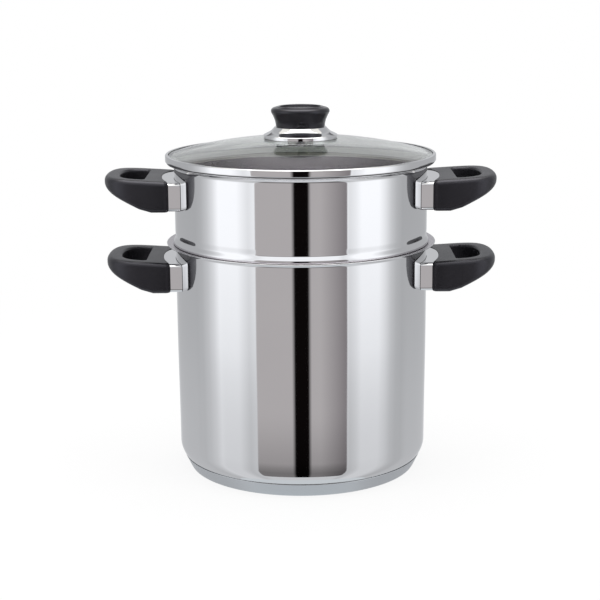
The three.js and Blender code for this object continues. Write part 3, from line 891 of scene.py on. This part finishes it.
def carve(bm, cutter, operation="DIFFERENCE"):
    """Cut one mesh with another, or join them. Both are used up, and a new mesh comes back."""
    things = []
    for name, shape in (("carved", bm), ("cutter", cutter)):
        bmesh.ops.recalc_face_normals(shape, faces=shape.faces)
        mesh = bpy.data.meshes.new(name)
        shape.to_mesh(mesh)
        shape.free()
        thing = bpy.data.objects.new(name, mesh)
        bpy.context.scene.collection.objects.link(thing)
        things.append(thing)
    modifier = things[0].modifiers.new("cut", "BOOLEAN")
    modifier.operation = operation
    modifier.solver = "EXACT"
    modifier.object = things[1]
    graph = bpy.context.evaluated_depsgraph_get()
    result = bmesh.new()
    result.from_mesh(things[0].evaluated_get(graph).to_mesh())
    for thing in things:
        mesh = thing.data
        bpy.data.objects.remove(thing)
        bpy.data.meshes.remove(mesh)
    return result


def block(size, centre):
    """A plain box as a cutter, in millimetres."""
    bm = bmesh.new()
    place = Matrix.Translation(Vector(centre) * MM) @ Matrix.Diagonal((*(Vector(size) * MM), 1.0))
    bmesh.ops.create_cube(bm, size=1.0, matrix=place)
    return bm


def ring_washer(radius, low, high):
    flat = radius - WASHER_SOFT
    outline = Outline(SCREW_HOLE, low).line(flat, low).line(radius, low + WASHER_SOFT)
    outline.line(radius, high - WASHER_SOFT).line(flat, high).line(SCREW_HOLE, high)
    return turn(outline, FASTENER_SEGMENTS)


def screw_body(head_top, tip):
    """A screw along Z with its domed head at the bottom and a cross cut into it."""
    head = head_top - HEAD_HEIGHT
    outline = Outline(0, head)
    crown_end = (HEAD_RADIUS, head + HEAD_SIDE)
    outline.curve((CROWN_RADIUS, head), (HEAD_RADIUS, head + CROWN_RISE), crown_end, count=12)
    outline.line(HEAD_RADIUS, head_top).line(SCREW_RADIUS, head_top)
    outline.line(SCREW_RADIUS, tip - TIP_CHAMFER).line(SCREW_RADIUS - TIP_CHAMFER, tip).line(0, tip)
    body = turn(outline, FASTENER_SEGMENTS)
    for size in ((RECESS_LENGTH, RECESS_WIDTH), (RECESS_WIDTH, RECESS_LENGTH)):
        body = carve(body, block((*size, 2 * RECESS_DEPTH), (0, 0, head)))
    return body


gasket_low, gasket_high = corners_of("knob_gasket")
disc_low, disc_high = corners_of("knob_washer")
stem_low, stem_high = corners_of("knob_screw")
knob_bush = ring_washer(bush_high.x, bush_low.z, bush_high.z)
add_piece("knob_bush", knob_bush, "lid", [brass], "knob_insert")
glass_gasket = ring_washer(gasket_high.x, gasket_low.z, gasket_high.z)
add_piece("glass_gasket", glass_gasket, "lid", [silicone], "knob_gasket")
knob_disc = ring_washer(disc_high.x, disc_low.z, disc_high.z)
add_piece("knob_disc", knob_disc, "lid", [satin], "knob_washer")
knob_bolt = screw_body(stem_low.z + HEAD_HEIGHT, stem_high.z)
add_piece("knob_bolt", knob_bolt, "lid", [satin], "knob_screw")

# %% [markdown]
# ## Flame guards
# Between each grip and the hot wall sits a polished sleeve, so that a flame can't scorch the resin.
# It is a sheet bent into a rounded box, cut to the wall at one end and to a round tongue at the other,
# and the tongue's top lifts a little towards its tip, as the grip's top does.
# Cutting is possible here too, but both cuts are plain circles in plan, so each point of the section
# can simply be run from the one circle to the other, which leaves clean strips that mirror cleanly.

# %% Bend a sleeve
GUARD_CORNER = 3.5
GUARD_SHEET = 0.9
GUARD_REACH = 2.5
GUARD_ROWS = 8
FLAT_STEPS = 10
TONGUE_RISE = 1.4

guard_low, guard_high = corners_of("pot_right_flame_guard")
guard_half = guard_high.y
guard_height = guard_high.z - guard_low.z
tongue_tip = guard_high.x
tongue_sag = tongue_tip - wall - GUARD_REACH
tongue_radius = (guard_half ** 2 + tongue_sag ** 2) / (2 * tongue_sag)
tongue_centre = tongue_tip - tongue_radius


def guard_section(inset):
    """The rounded box across a sleeve as (y, z) points, z from the sleeve's top."""
    half = guard_half - inset
    low = inset - guard_height
    bend = GUARD_CORNER - inset
    outline = Outline(half, low + bend)
    outline.arc((half - bend, -inset - bend), bend, 0, 90, step=10)
    for i in range(1, 2 * FLAT_STEPS):
        outline.line((half - bend) * (1 - i / FLAT_STEPS), -inset)
    outline.arc((bend - half, -inset - bend), bend, 90, 180, step=10)
    outline.arc((bend - half, low + bend), bend, 180, 270, step=10)
    for i in range(1, 2 * FLAT_STEPS):
        outline.line((half - bend) * (i / FLAT_STEPS - 1), low)
    outline.arc((half - bend, low + bend), bend, 270, 360, step=10)
    return outline.points[:-1]


def on_circle(centre, radius, y):
    return centre + math.sqrt(radius ** 2 - y ** 2)


def guard_mesh():
    bm = bmesh.new()
    outer, inner = [], []
    for inset, rows in ((0.0, outer), (GUARD_SHEET, inner)):
        for row in range(GUARD_ROWS + 1):
            t = row / GUARD_ROWS
            ring = []
            for y, z in guard_section(inset):
                start = on_circle(0.0, wall + SEAT_GAP, y)
                end = on_circle(tongue_centre, tongue_radius, y)
                x = start + (end - start) * t
                out = max(0.0, (x - wall - GUARD_REACH) / tongue_sag)
                rise = TONGUE_RISE * out if z > -guard_height / 2 else 0.0
                ring.append(bm.verts.new(Vector((x, y, z + rise)) * MM))
            rows.append(ring)
    for low, high in zip(outer, outer[1:]):
        join_rings(bm, low, high)
    for low, high in zip(inner, inner[1:]):
        join_rings(bm, high, low)
    join_rings(bm, outer[-1], inner[-1])
    join_rings(bm, inner[0], outer[0])
    return bm


print("sleeve reaches", round(tongue_tip - wall, 1), "mm, tongue radius", round(tongue_radius, 1))

# %% [markdown]
# ## Grips
# A grip is a flat loop of resin around a finger window. Its plan is round at the tip, its underside
# rises towards the tip, and all its edges are well rounded for the hand. The loop is swept: at each
# place along it stands one section with rounded corners, between the outer edge and the window. A
# bevelled block could be used as well, but its edges can't fade towards the thin tip.

# %% Sweep a grip
GRIP_PROUD_TOP = 1.2
GRIP_PROUD_BOTTOM = 0.9
GRIP_TOP_RISE = 0.058
UNDERSIDE_START = 23.5
UNDERSIDE_RISE = 0.5
UNDERSIDE_SOFT = 0.6
BODY_START = 30.0
GRIP_FULLNESS = 0.75
GRIP_EDGE = 5.0
GRIP_EDGE_SHARE = 0.46
WINDOW_START = 26.5
WINDOW_BODY = 32.0
WINDOW_END = 51.0
WINDOW_HALF = 33.0
WINDOW_FULLNESS = 0.68
WINDOW_EDGE = 2.5
WINDOW_EDGE_SHARE = 0.4
WINDOW_CORNER = 3.0
SHOULDER_CORNER = 8.0
EDGE_STEPS = 7
INNER_STEPS = 8
TIP_STEPS = 32

_, grip_high = corners_of("pot_right_grip")
grip_tip = grip_high.x
grip_half = grip_high.y


def grip_top(x):
    return GRIP_PROUD_TOP + GRIP_TOP_RISE * (x - wall - GUARD_REACH)


def grip_underside(x):
    past = x - wall - UNDERSIDE_START
    rise = UNDERSIDE_RISE * (past + math.hypot(past, UNDERSIDE_SOFT)) / 2
    return rise - guard_height - GRIP_PROUD_BOTTOM


def plan_loop(start, body_start, tip, half, corner, fullness):
    """A rounded outline in plan, from its tip round the straight inner edge and back."""
    bow = body_start + fullness * (tip - body_start)
    pen = Outline(tip, 0.0)
    pen.curve((tip, fullness * half), (bow, half), (body_start, half), TIP_STEPS)
    pen.line((start + corner + body_start) / 2, half)
    pen.arc((start + corner, half - corner), corner, 90, 180, step=15)
    for i in range(1, 2 * INNER_STEPS):
        pen.line(start, (half - corner) * (1 - i / INNER_STEPS))
    pen.arc((start + corner, corner - half), corner, 180, 270, step=15)
    pen.line((start + corner + body_start) / 2, -half)
    pen.line(body_start, -half)
    pen.curve((bow, -half), (tip, -fullness * half), (tip, 0.0), TIP_STEPS)
    return [Vector(point) for point in pen.points[:-1]]


def steps_inwards(loop):
    """For each point of a loop, the unit step to its left."""
    steps = []
    for i, point in enumerate(loop):
        along = loop[(i + 1) % len(loop)] - loop[i - 1]
        steps.append(Vector((-along.y, along.x)).normalized())
    return steps


def grip_section(edge, inwards, gap, outwards):
    """One section of the loop: underside, outer edge, top, window wall."""
    points = []

    def put(start, step, depth, from_top=None, from_bottom=None):
        spot = start + step * depth
        if from_top is None:
            z = grip_underside(spot.x) + from_bottom
        else:
            z = grip_top(spot.x) - from_top
        points.append(Vector((spot.x, spot.y, z)))

    thick = grip_top(edge.x) - grip_underside(edge.x)
    bend = min(GRIP_EDGE, thick * GRIP_EDGE_SHARE)
    soft = min(WINDOW_EDGE, thick * WINDOW_EDGE_SHARE)
    quarter = [math.pi / 2 * i / EDGE_STEPS for i in range(EDGE_STEPS + 1)]
    for angle in quarter:
        put(edge, inwards, bend * (1 - math.sin(angle)), None, bend * (1 - math.cos(angle)))
    for angle in quarter:
        put(edge, inwards, bend * (1 - math.cos(angle)), bend * (1 - math.sin(angle)))
    for angle in quarter:
        put(gap, outwards, soft * (1 - math.sin(angle)), soft * (1 - math.cos(angle)))
    for angle in quarter:
        put(gap, outwards, soft * (1 - math.cos(angle)), None, soft * (1 - math.sin(angle)))
    return points


def grip_loop():
    body = wall + BODY_START
    outer = plan_loop(wall, body, grip_tip, grip_half, SHOULDER_CORNER, GRIP_FULLNESS)
    start, body, end = (wall + out for out in (WINDOW_START, WINDOW_BODY, WINDOW_END))
    window = plan_loop(start, body, end, WINDOW_HALF, WINDOW_CORNER, WINDOW_FULLNESS)
    bm = bmesh.new()
    rings = []
    sweep = zip(outer, steps_inwards(outer), window, steps_inwards(window))
    for edge, inwards, gap, outwards in sweep:
        section = grip_section(edge, inwards, gap, -outwards)
        rings.append([bm.verts.new(point * MM) for point in section])
    for low, high in zip(rings, rings[1:] + rings[:1]):
        join_rings(bm, low, high)
    return bm


print("a grip reaches", round(grip_tip - wall, 1), "mm and is", round(2 * grip_half, 1), "mm wide")

# %% [markdown]
# ## Grip and sleeve
# Where the loop meets its sleeve it is cut to the tongue's circle, and a tenon is left inside the
# sleeve. A boss on the wall enters the tenon, and a screw from the finger window draws the grip tight
# against it. The holes could be left out, since they hardly show, but then the screw would stand in
# solid resin.

# %% Cut a grip to its sleeve
TENON_GAP = 6.0
TENON_DEPTH = 20.0
SCREW_SEAT = 21.5
BOSS_RADIUS = 6.0
BOSS_REACH = 13.0
WASHER_RADIUS = 5.2
OVERCUT = 1.0

guard_middle = -guard_height / 2


def upright(radius, x):
    """A tall round cutter."""
    tall = 3 * guard_height
    outline = Outline(0, -tall).line(radius, -tall).line(radius, tall).line(0, tall)
    bm = turn(outline, VESSEL_SEGMENTS)
    bmesh.ops.translate(bm, verts=bm.verts, vec=(x * MM, 0, 0))
    return bm


def level(radius, start, end):
    """A round cutter along X at the middle of the sleeve."""
    outline = Outline(0, start).line(radius, start).line(radius, end).line(0, end)
    bm = turn(outline, FASTENER_SEGMENTS)
    lay_down(bm)
    return bm


def lay_down(bm):
    """Turn a piece that was made along Z to lie along X at the middle of the sleeve."""
    swing = Matrix.Translation((0, 0, guard_middle * MM)) @ Matrix.Rotation(math.pi / 2, 4, "Y")
    bmesh.ops.transform(bm, matrix=swing, verts=bm.verts)


def tenon_bar():
    """The part of the grip that enters the sleeve."""
    section = guard_section(GUARD_SHEET + SEAT_GAP)
    bm = bmesh.new()
    ends = []
    for x in (wall / 2, wall + TENON_DEPTH):
        ends.append([bm.verts.new(Vector((x, y, z)) * MM) for y, z in section])
    join_rings(bm, *ends)
    bm.faces.new(ends[0])
    bm.faces.new(ends[1])
    return bm


def grip_mesh():
    boss_end = wall + BOSS_REACH + SEAT_GAP
    counterbore = wall + SCREW_SEAT
    body = carve(grip_loop(), upright(tongue_radius + SEAT_GAP, tongue_centre))
    body = carve(body, carve(tenon_bar(), upright(wall + TENON_GAP, 0.0)), "UNION")
    body = carve(body, level(BOSS_RADIUS + SEAT_GAP, wall / 2, boss_end))
    body = carve(body, level(SCREW_HOLE, boss_end - OVERCUT, counterbore + OVERCUT))
    return carve(body, level(WASHER_RADIUS + SEAT_GAP, counterbore, wall + WINDOW_END))


grip_shape = grip_mesh()
print("grip cut, with", len(grip_shape.faces), "faces")

# %% [markdown]
# ## Four handles
# Both vessels carry the same handle on either side: a sleeve, a grip, a screw and a washer, with a
# bracket on the wall behind them. Each could be modelled in its place, but one set that is copied and
# turned stays alike. The bracket is hidden, so it keeps its solid and gets a finish.

# %% Fit the four handles
def laid_screw():
    low, high = corners_of("pot_right_screw")
    bm = screw_body(HEAD_HEIGHT - high.x, -low.x)
    flip = Matrix.Translation((0, 0, guard_middle * MM)) @ Matrix.Rotation(-math.pi / 2, 4, "Y")
    bmesh.ops.transform(bm, matrix=flip, verts=bm.verts)
    return bm


def laid_washer():
    low, high = corners_of("pot_right_washer")
    bm = ring_washer((high.z - low.z) / 2, low.x, high.x)
    lay_down(bm)
    return bm


HANDLE_PIECES = {
    "grip": (grip_shape, "dark_resin", resin),
    "flame_guard": (guard_mesh(), "polished_steel", steel),
    "screw": (laid_screw(), "satin_steel", satin),
    "washer": (laid_washer(), "satin_steel", satin),
}

for vessel in ("pot", "steamer"):
    for side in ("left", "right"):
        sleeve_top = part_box(f"{vessel}_{side}_flame_guard")[1].z
        turned = math.pi if side == "left" else 0.0
        move = Matrix.Translation((0, 0, sleeve_top)) @ Matrix.Rotation(turned, 4, "Z")
        for kind, (shape, slot, finish) in HANDLE_PIECES.items():
            node = f"{vessel}_{side}_{kind}"
            copy = shape.copy()
            bmesh.ops.transform(copy, matrix=move, verts=copy.verts)
            add_piece(f"{node}_fine", copy, vessel, [finish], node)
        dress(f"{vessel}_{side}_weld_bracket", satin)

# %% [markdown]
# ## Studio screen
# Polished steel has hardly any colour of its own: it shows the room. A product photographer builds
# that room, with white boxes at the sides, a grey card in front and a dark slot where the camera looks
# in. Here all of that is one tall screen around the pot whose glow changes with the angle. Separate
# cards would need as many meshes, and their edges would be harder to soften. Only reflections see the
# screen, so it neither lights the resin nor hides the pot from another camera.

# %% Choose the tones around the pot
SCREEN_RADIUS = 1.3
SCREEN_LOW = -2.2
SCREEN_HIGH = 1.6
SCREEN_SEGMENTS = 180
DAYLIGHT = (0.975, 0.99, 1.02)
BACK = 0.60
DIM = 0.48
BOX = 1.22
BELOW_CARD = 1.12


def cool(level):
    """A grey with a trace of blue, as daylight through white cloth has."""
    return tuple(share * level for share in DAYLIGHT)


SURROUND = [
    (-180, BACK), (-165, BACK), (-150, DIM), (-106, DIM), (-98, 0.53), (-90, 0.68), (-83, 0.90),
    (-76, BOX), (-57, BOX), (-51, 1.07), (-46, 0.95), (-36, BELOW_CARD),
    (36, BELOW_CARD), (42, 0.93), (48, 1.06), (53, BOX), (71, BOX),
    (78, 1.0), (85, 0.72), (92, 0.56), (100, DIM), (150, DIM), (165, BACK), (180, BACK),
]
SLOT = (0.004, 0.003, 0.003)
CARD = (0.50, 0.475, 0.48)
CARD_SHADE = (0.26, 0.24, 0.25)
CARD_FRONT = [
    (-180, CARD), (-7.6, CARD), (-6.4, SLOT), (6.4, SLOT), (7.6, CARD), (16, CARD), (38, CARD_SHADE),
]
print("tones around the pot:", len(SURROUND), "and across the card:", len(CARD_FRONT))

# %% [markdown]
# ## What the screen shows
# The card hangs in front as a rounded rectangle, darker at its foot and with a grey bar along its top.
# The distance to a rounded rectangle is a short sum, so the card needs no mesh of its own. The boxes
# lose strength towards the floor, while the dim sides gain a little. High up behind the pot starts a
# dim room with an arched lower edge, which the lid's glass mirrors as a dark lens.

# %% Draw the card and the room
CARD_HALF_ANGLE = 39.7
CARD_LOW = -1.12
CARD_HIGH = 0.95
CARD_CORNER = 0.11
CARD_EDGE = 0.012
CARD_BAR = (0.15, 0.135, 0.14)
BAR_LOW = 0.68
BACK_TOP = 1.08
BACK_SOFT = 0.06
BACK_SAG = 0.019
ROOM_START = 159.0
ROOM_END = 165.0
ROOM_MIDDLE_START = 166.0
ROOM_MIDDLE_END = 177.0
ROOM_SIDE = (0.04, 0.035, 0.04)
ROOM_MIDDLE = (0.40, 0.37, 0.40)
FADE_LOW = -0.45
FADE_HIGH = 0.10
FADE_LOSS = 0.40
SIDE_START = 70
SIDE_END = 112
SIDE_GAIN = -0.45
FOOT_LOW = -0.46
FOOT_HIGH = -0.29
FOOT_SHARE = 0.40
TONE_RANGE = 2.0


def tone_at(angle, stops):
    """A colour that follows the angle round the pot."""
    ramp = []
    for degrees, colour in stops:
        ramp.append(((degrees + 180) / 360, [value / TONE_RANGE for value in colour]))
    half = angle.node("ShaderNodeValToRGB", {"stops": ramp}, {"Fac": (angle + 180) / 360})
    return half * TONE_RANGE


def beyond(signal, limit):
    """How far a signal is past a limit on either side, or nothing within it."""
    past = abs(signal) - limit
    return past.node("ShaderNodeMath", {"operation": "MAXIMUM"}, {0: past, 1: 0.0})


def card_mask(angle, z):
    across = angle * (SCREEN_RADIUS * math.pi / 180)
    half_width = SCREEN_RADIUS * math.radians(CARD_HALF_ANGLE)
    half_height = (CARD_HIGH - CARD_LOW) / 2
    past_side = beyond(across, half_width - CARD_CORNER)
    past_end = beyond(z - (CARD_HIGH + CARD_LOW) / 2, half_height - CARD_CORNER)
    outside = (past_side * past_side + past_end * past_end) ** 0.5
    return rising(outside, CARD_CORNER - CARD_EDGE, CARD_CORNER + CARD_EDGE, 1.0, 0.0)


def side_tones(angle, z):
    """The boxes and the dim sides, with the room high up behind."""
    behind = abs(angle)
    fade = rising(z, FADE_LOW, FADE_HIGH, FADE_LOSS, 0.0)
    loss = fade * rising(behind, SIDE_START, SIDE_END, 1.0, SIDE_GAIN)
    boxes = tone_at(angle, [(degrees, cool(level)) for degrees, level in SURROUND]) * (1.0 - loss)
    arch = z + (180 - behind) * BACK_SAG
    over_back = rising(arch, BACK_TOP, BACK_TOP + BACK_SOFT) * rising(behind, ROOM_START, ROOM_END)
    middle = rising(behind, ROOM_MIDDLE_START, ROOM_MIDDLE_END)
    return blend(over_back, boxes, blend(middle, ROOM_SIDE, ROOM_MIDDLE))


def card_tones(angle, z):
    card = tone_at(angle, CARD_FRONT) * rising(z, FOOT_LOW, FOOT_HIGH, FOOT_SHARE, 1.0)
    return blend(rising(z, BAR_LOW, BAR_LOW + CARD_EDGE), card, CARD_BAR)


print("card reaches", CARD_HALF_ANGLE, "degrees to each side")

# %% [markdown]
# ## Hang the screen
# The tones feed one emission shader on an open cylinder. An area lamp can't change along its face like
# that, and a sphere would bend the upright edges of the boxes.

# %% Make the screen
def screen_glow():
    finish = bpy.data.materials.new("studio_screen")
    finish.use_nodes = True
    tree = finish.node_tree
    tree.nodes.clear()
    place = Signal(tree.nodes.new("ShaderNodeTexCoord").outputs["Object"])
    x, y, z = place.node("ShaderNodeSeparateXYZ", None, {"Vector": place}).others()
    radians = x.node("ShaderNodeMath", {"operation": "ARCTAN2"}, {0: x, 1: 0.0 - y})
    angle = radians * (180 / math.pi)
    glow = blend(card_mask(angle, z), side_tones(angle, z), card_tones(angle, z))
    shine = glow.node("ShaderNodeEmission", None, {"Color": glow, "Strength": 1.0})
    feed(tree.nodes.new("ShaderNodeOutputMaterial").inputs["Surface"], shine)
    return finish


screen_mesh = bmesh.new()
ends = []
for height in (SCREEN_LOW, SCREEN_HIGH):
    ends.append(ring_of(screen_mesh, SCREEN_RADIUS / MM, height / MM, SCREEN_SEGMENTS))
join_rings(screen_mesh, *ends)
mesh = bpy.data.meshes.new("studio_screen")
screen_mesh.to_mesh(mesh)
screen_mesh.free()
mesh.materials.append(screen_glow())
screen = bpy.data.objects.new("studio_screen", mesh)
bpy.context.scene.collection.objects.link(screen)
screen.visible_camera = False
screen.visible_diffuse = False
screen.visible_transmission = False
screen.visible_shadow = False
print("screen stands", SCREEN_RADIUS, "m around the pot")

# %% [markdown]
# ## White floor
# The photograph has a pure white ground. A floor bright enough to clip would flood the pot with light,
# so the floor is pale and lit plainly, and only what the camera sees of it directly is lifted to white.
# A share of the real shading stays near the pot, so that it keeps a soft contact shadow.

# %% Lay the floor
FLOOR_REACH = 40.0
LIFT_NEAR = 0.88
LIFT_START = 0.25
LIFT_END = 0.9
PAPER_DARK = (0.86, 0.86, 0.86)
PAPER_LIGHT = (0.88, 0.88, 0.88)


def light_path(tree):
    """The kinds of ray, by name."""
    path = tree.nodes.new("ShaderNodeLightPath")
    return {socket.name: Signal(socket) for socket in path.outputs}


def floor_finish():
    constants = {"Roughness": 0.9, "Specular IOR Level": 0.0}
    finish, sockets, place = new_finish("pale_floor", constants)
    paper = noise(place, scale=40.0, detail=3.0)
    feed(sockets["Base Color"], blend(paper, PAPER_DARK, PAPER_LIGHT))
    tree = finish.node_tree
    ray = light_path(tree)
    x, y, _ = place.node("ShaderNodeSeparateXYZ", None, {"Vector": place}).others()
    lift = rising((x * x + y * y) ** 0.5, LIFT_START, LIFT_END, LIFT_NEAR, 1.0)
    seen = ray["Is Camera Ray"] + ray["Is Transmission Ray"]
    white = place.node("ShaderNodeEmission", None, {"Color": (1.0, 1.0, 1.0), "Strength": 1.0})
    surface = Signal(tree.nodes["Principled BSDF"].outputs["BSDF"])
    mixed = place.node("ShaderNodeMixShader", None, {0: seen * lift, 1: surface, 2: white})
    feed(tree.nodes["Material Output"].inputs["Surface"], mixed)
    return finish


floor_mesh = bpy.data.meshes.new("floor")
corners = [(x * FLOOR_REACH, y * FLOOR_REACH, 0.0) for x, y in ((-1, -1), (1, -1), (1, 1), (-1, 1))]
floor_mesh.from_pydata(corners, [], [(0, 1, 2, 3)])
floor_mesh.materials.append(floor_finish())
floor = bpy.data.objects.new("floor", floor_mesh)
bpy.context.scene.collection.objects.link(floor)
floor.visible_glossy = False
print("floor reaches", FLOOR_REACH, "m each way")

# %% [markdown]
# ## Soft light
# Three large lamps and an even world light the resin and the floor at a plain level, and only the lamp
# overhead is mirrored. The world has different tones for different rays: white where the camera looks,
# a bright ceiling and a cooler ground where steel mirrors it, and a dim room where light leaves the
# steamer through the lid, with more of it from the front into the mouth. One tone for all would be
# simpler, but then the steamer would look lit from within.

# %% Light the scene
AMBIENT = (0.62, 0.62, 0.62)
CEILING = (1.05, 1.03, 0.98)
GROUND = (0.66, 0.70, 0.73)
OVER_LID = (0.46, 0.43, 0.46)
INTO_MOUTH = (1.6, 1.6, 1.55)
WHITE = (1.0, 1.0, 1.0)
HORIZON = 0.1
MOUTH_START = -0.3
MOUTH_END = 0.1
DIM_START = 0.06
DIM_END = 0.35
LAMP_TARGET = Vector((0.0, 0.0, 0.17))
LAMPS = [
    ("top_box", (0.0, 0.2, 2.4), 2.0, 38.0, True),
    ("left_box", (-2.0, -1.2, 1.4), 1.4, 14.0, False),
    ("right_box", (2.0, -1.2, 1.4), 1.4, 14.0, False),
]

world = bpy.data.worlds.new("studio")
bpy.context.scene.world = world
world.use_nodes = True
sky = world.node_tree
direction = Signal(sky.nodes.new("ShaderNodeTexCoord").outputs["Generated"])
_, away, up = direction.node("ShaderNodeSeparateXYZ", None, {"Vector": direction}).others()
ray = light_path(sky)
mirrored = blend(rising(up, -HORIZON, HORIZON), GROUND, CEILING)
over_lid = blend(rising(away, MOUTH_START, MOUTH_END), INTO_MOUTH, OVER_LID)
through_lid = blend(rising(up, DIM_START, DIM_END), WHITE, over_lid)
unseen = blend(ray["Is Glossy Ray"], AMBIENT, mirrored)
unseen = blend(ray["Is Transmission Ray"], unseen, through_lid)
feed(sky.nodes["Background"].inputs["Color"], blend(ray["Is Camera Ray"], unseen, WHITE))


def soft_light(name, place, size, power, mirrored):
    light = bpy.data.lights.new(name, "AREA")
    light.size = size
    light.energy = power
    lamp = bpy.data.objects.new(name, light)
    lamp.location = place
    lamp.rotation_euler = (LAMP_TARGET - Vector(place)).to_track_quat("-Z", "Y").to_euler()
    lamp.visible_glossy = mirrored
    bpy.context.scene.collection.objects.link(lamp)


for lamp in LAMPS:
    soft_light(*lamp)
print("world and three soft lights are set")
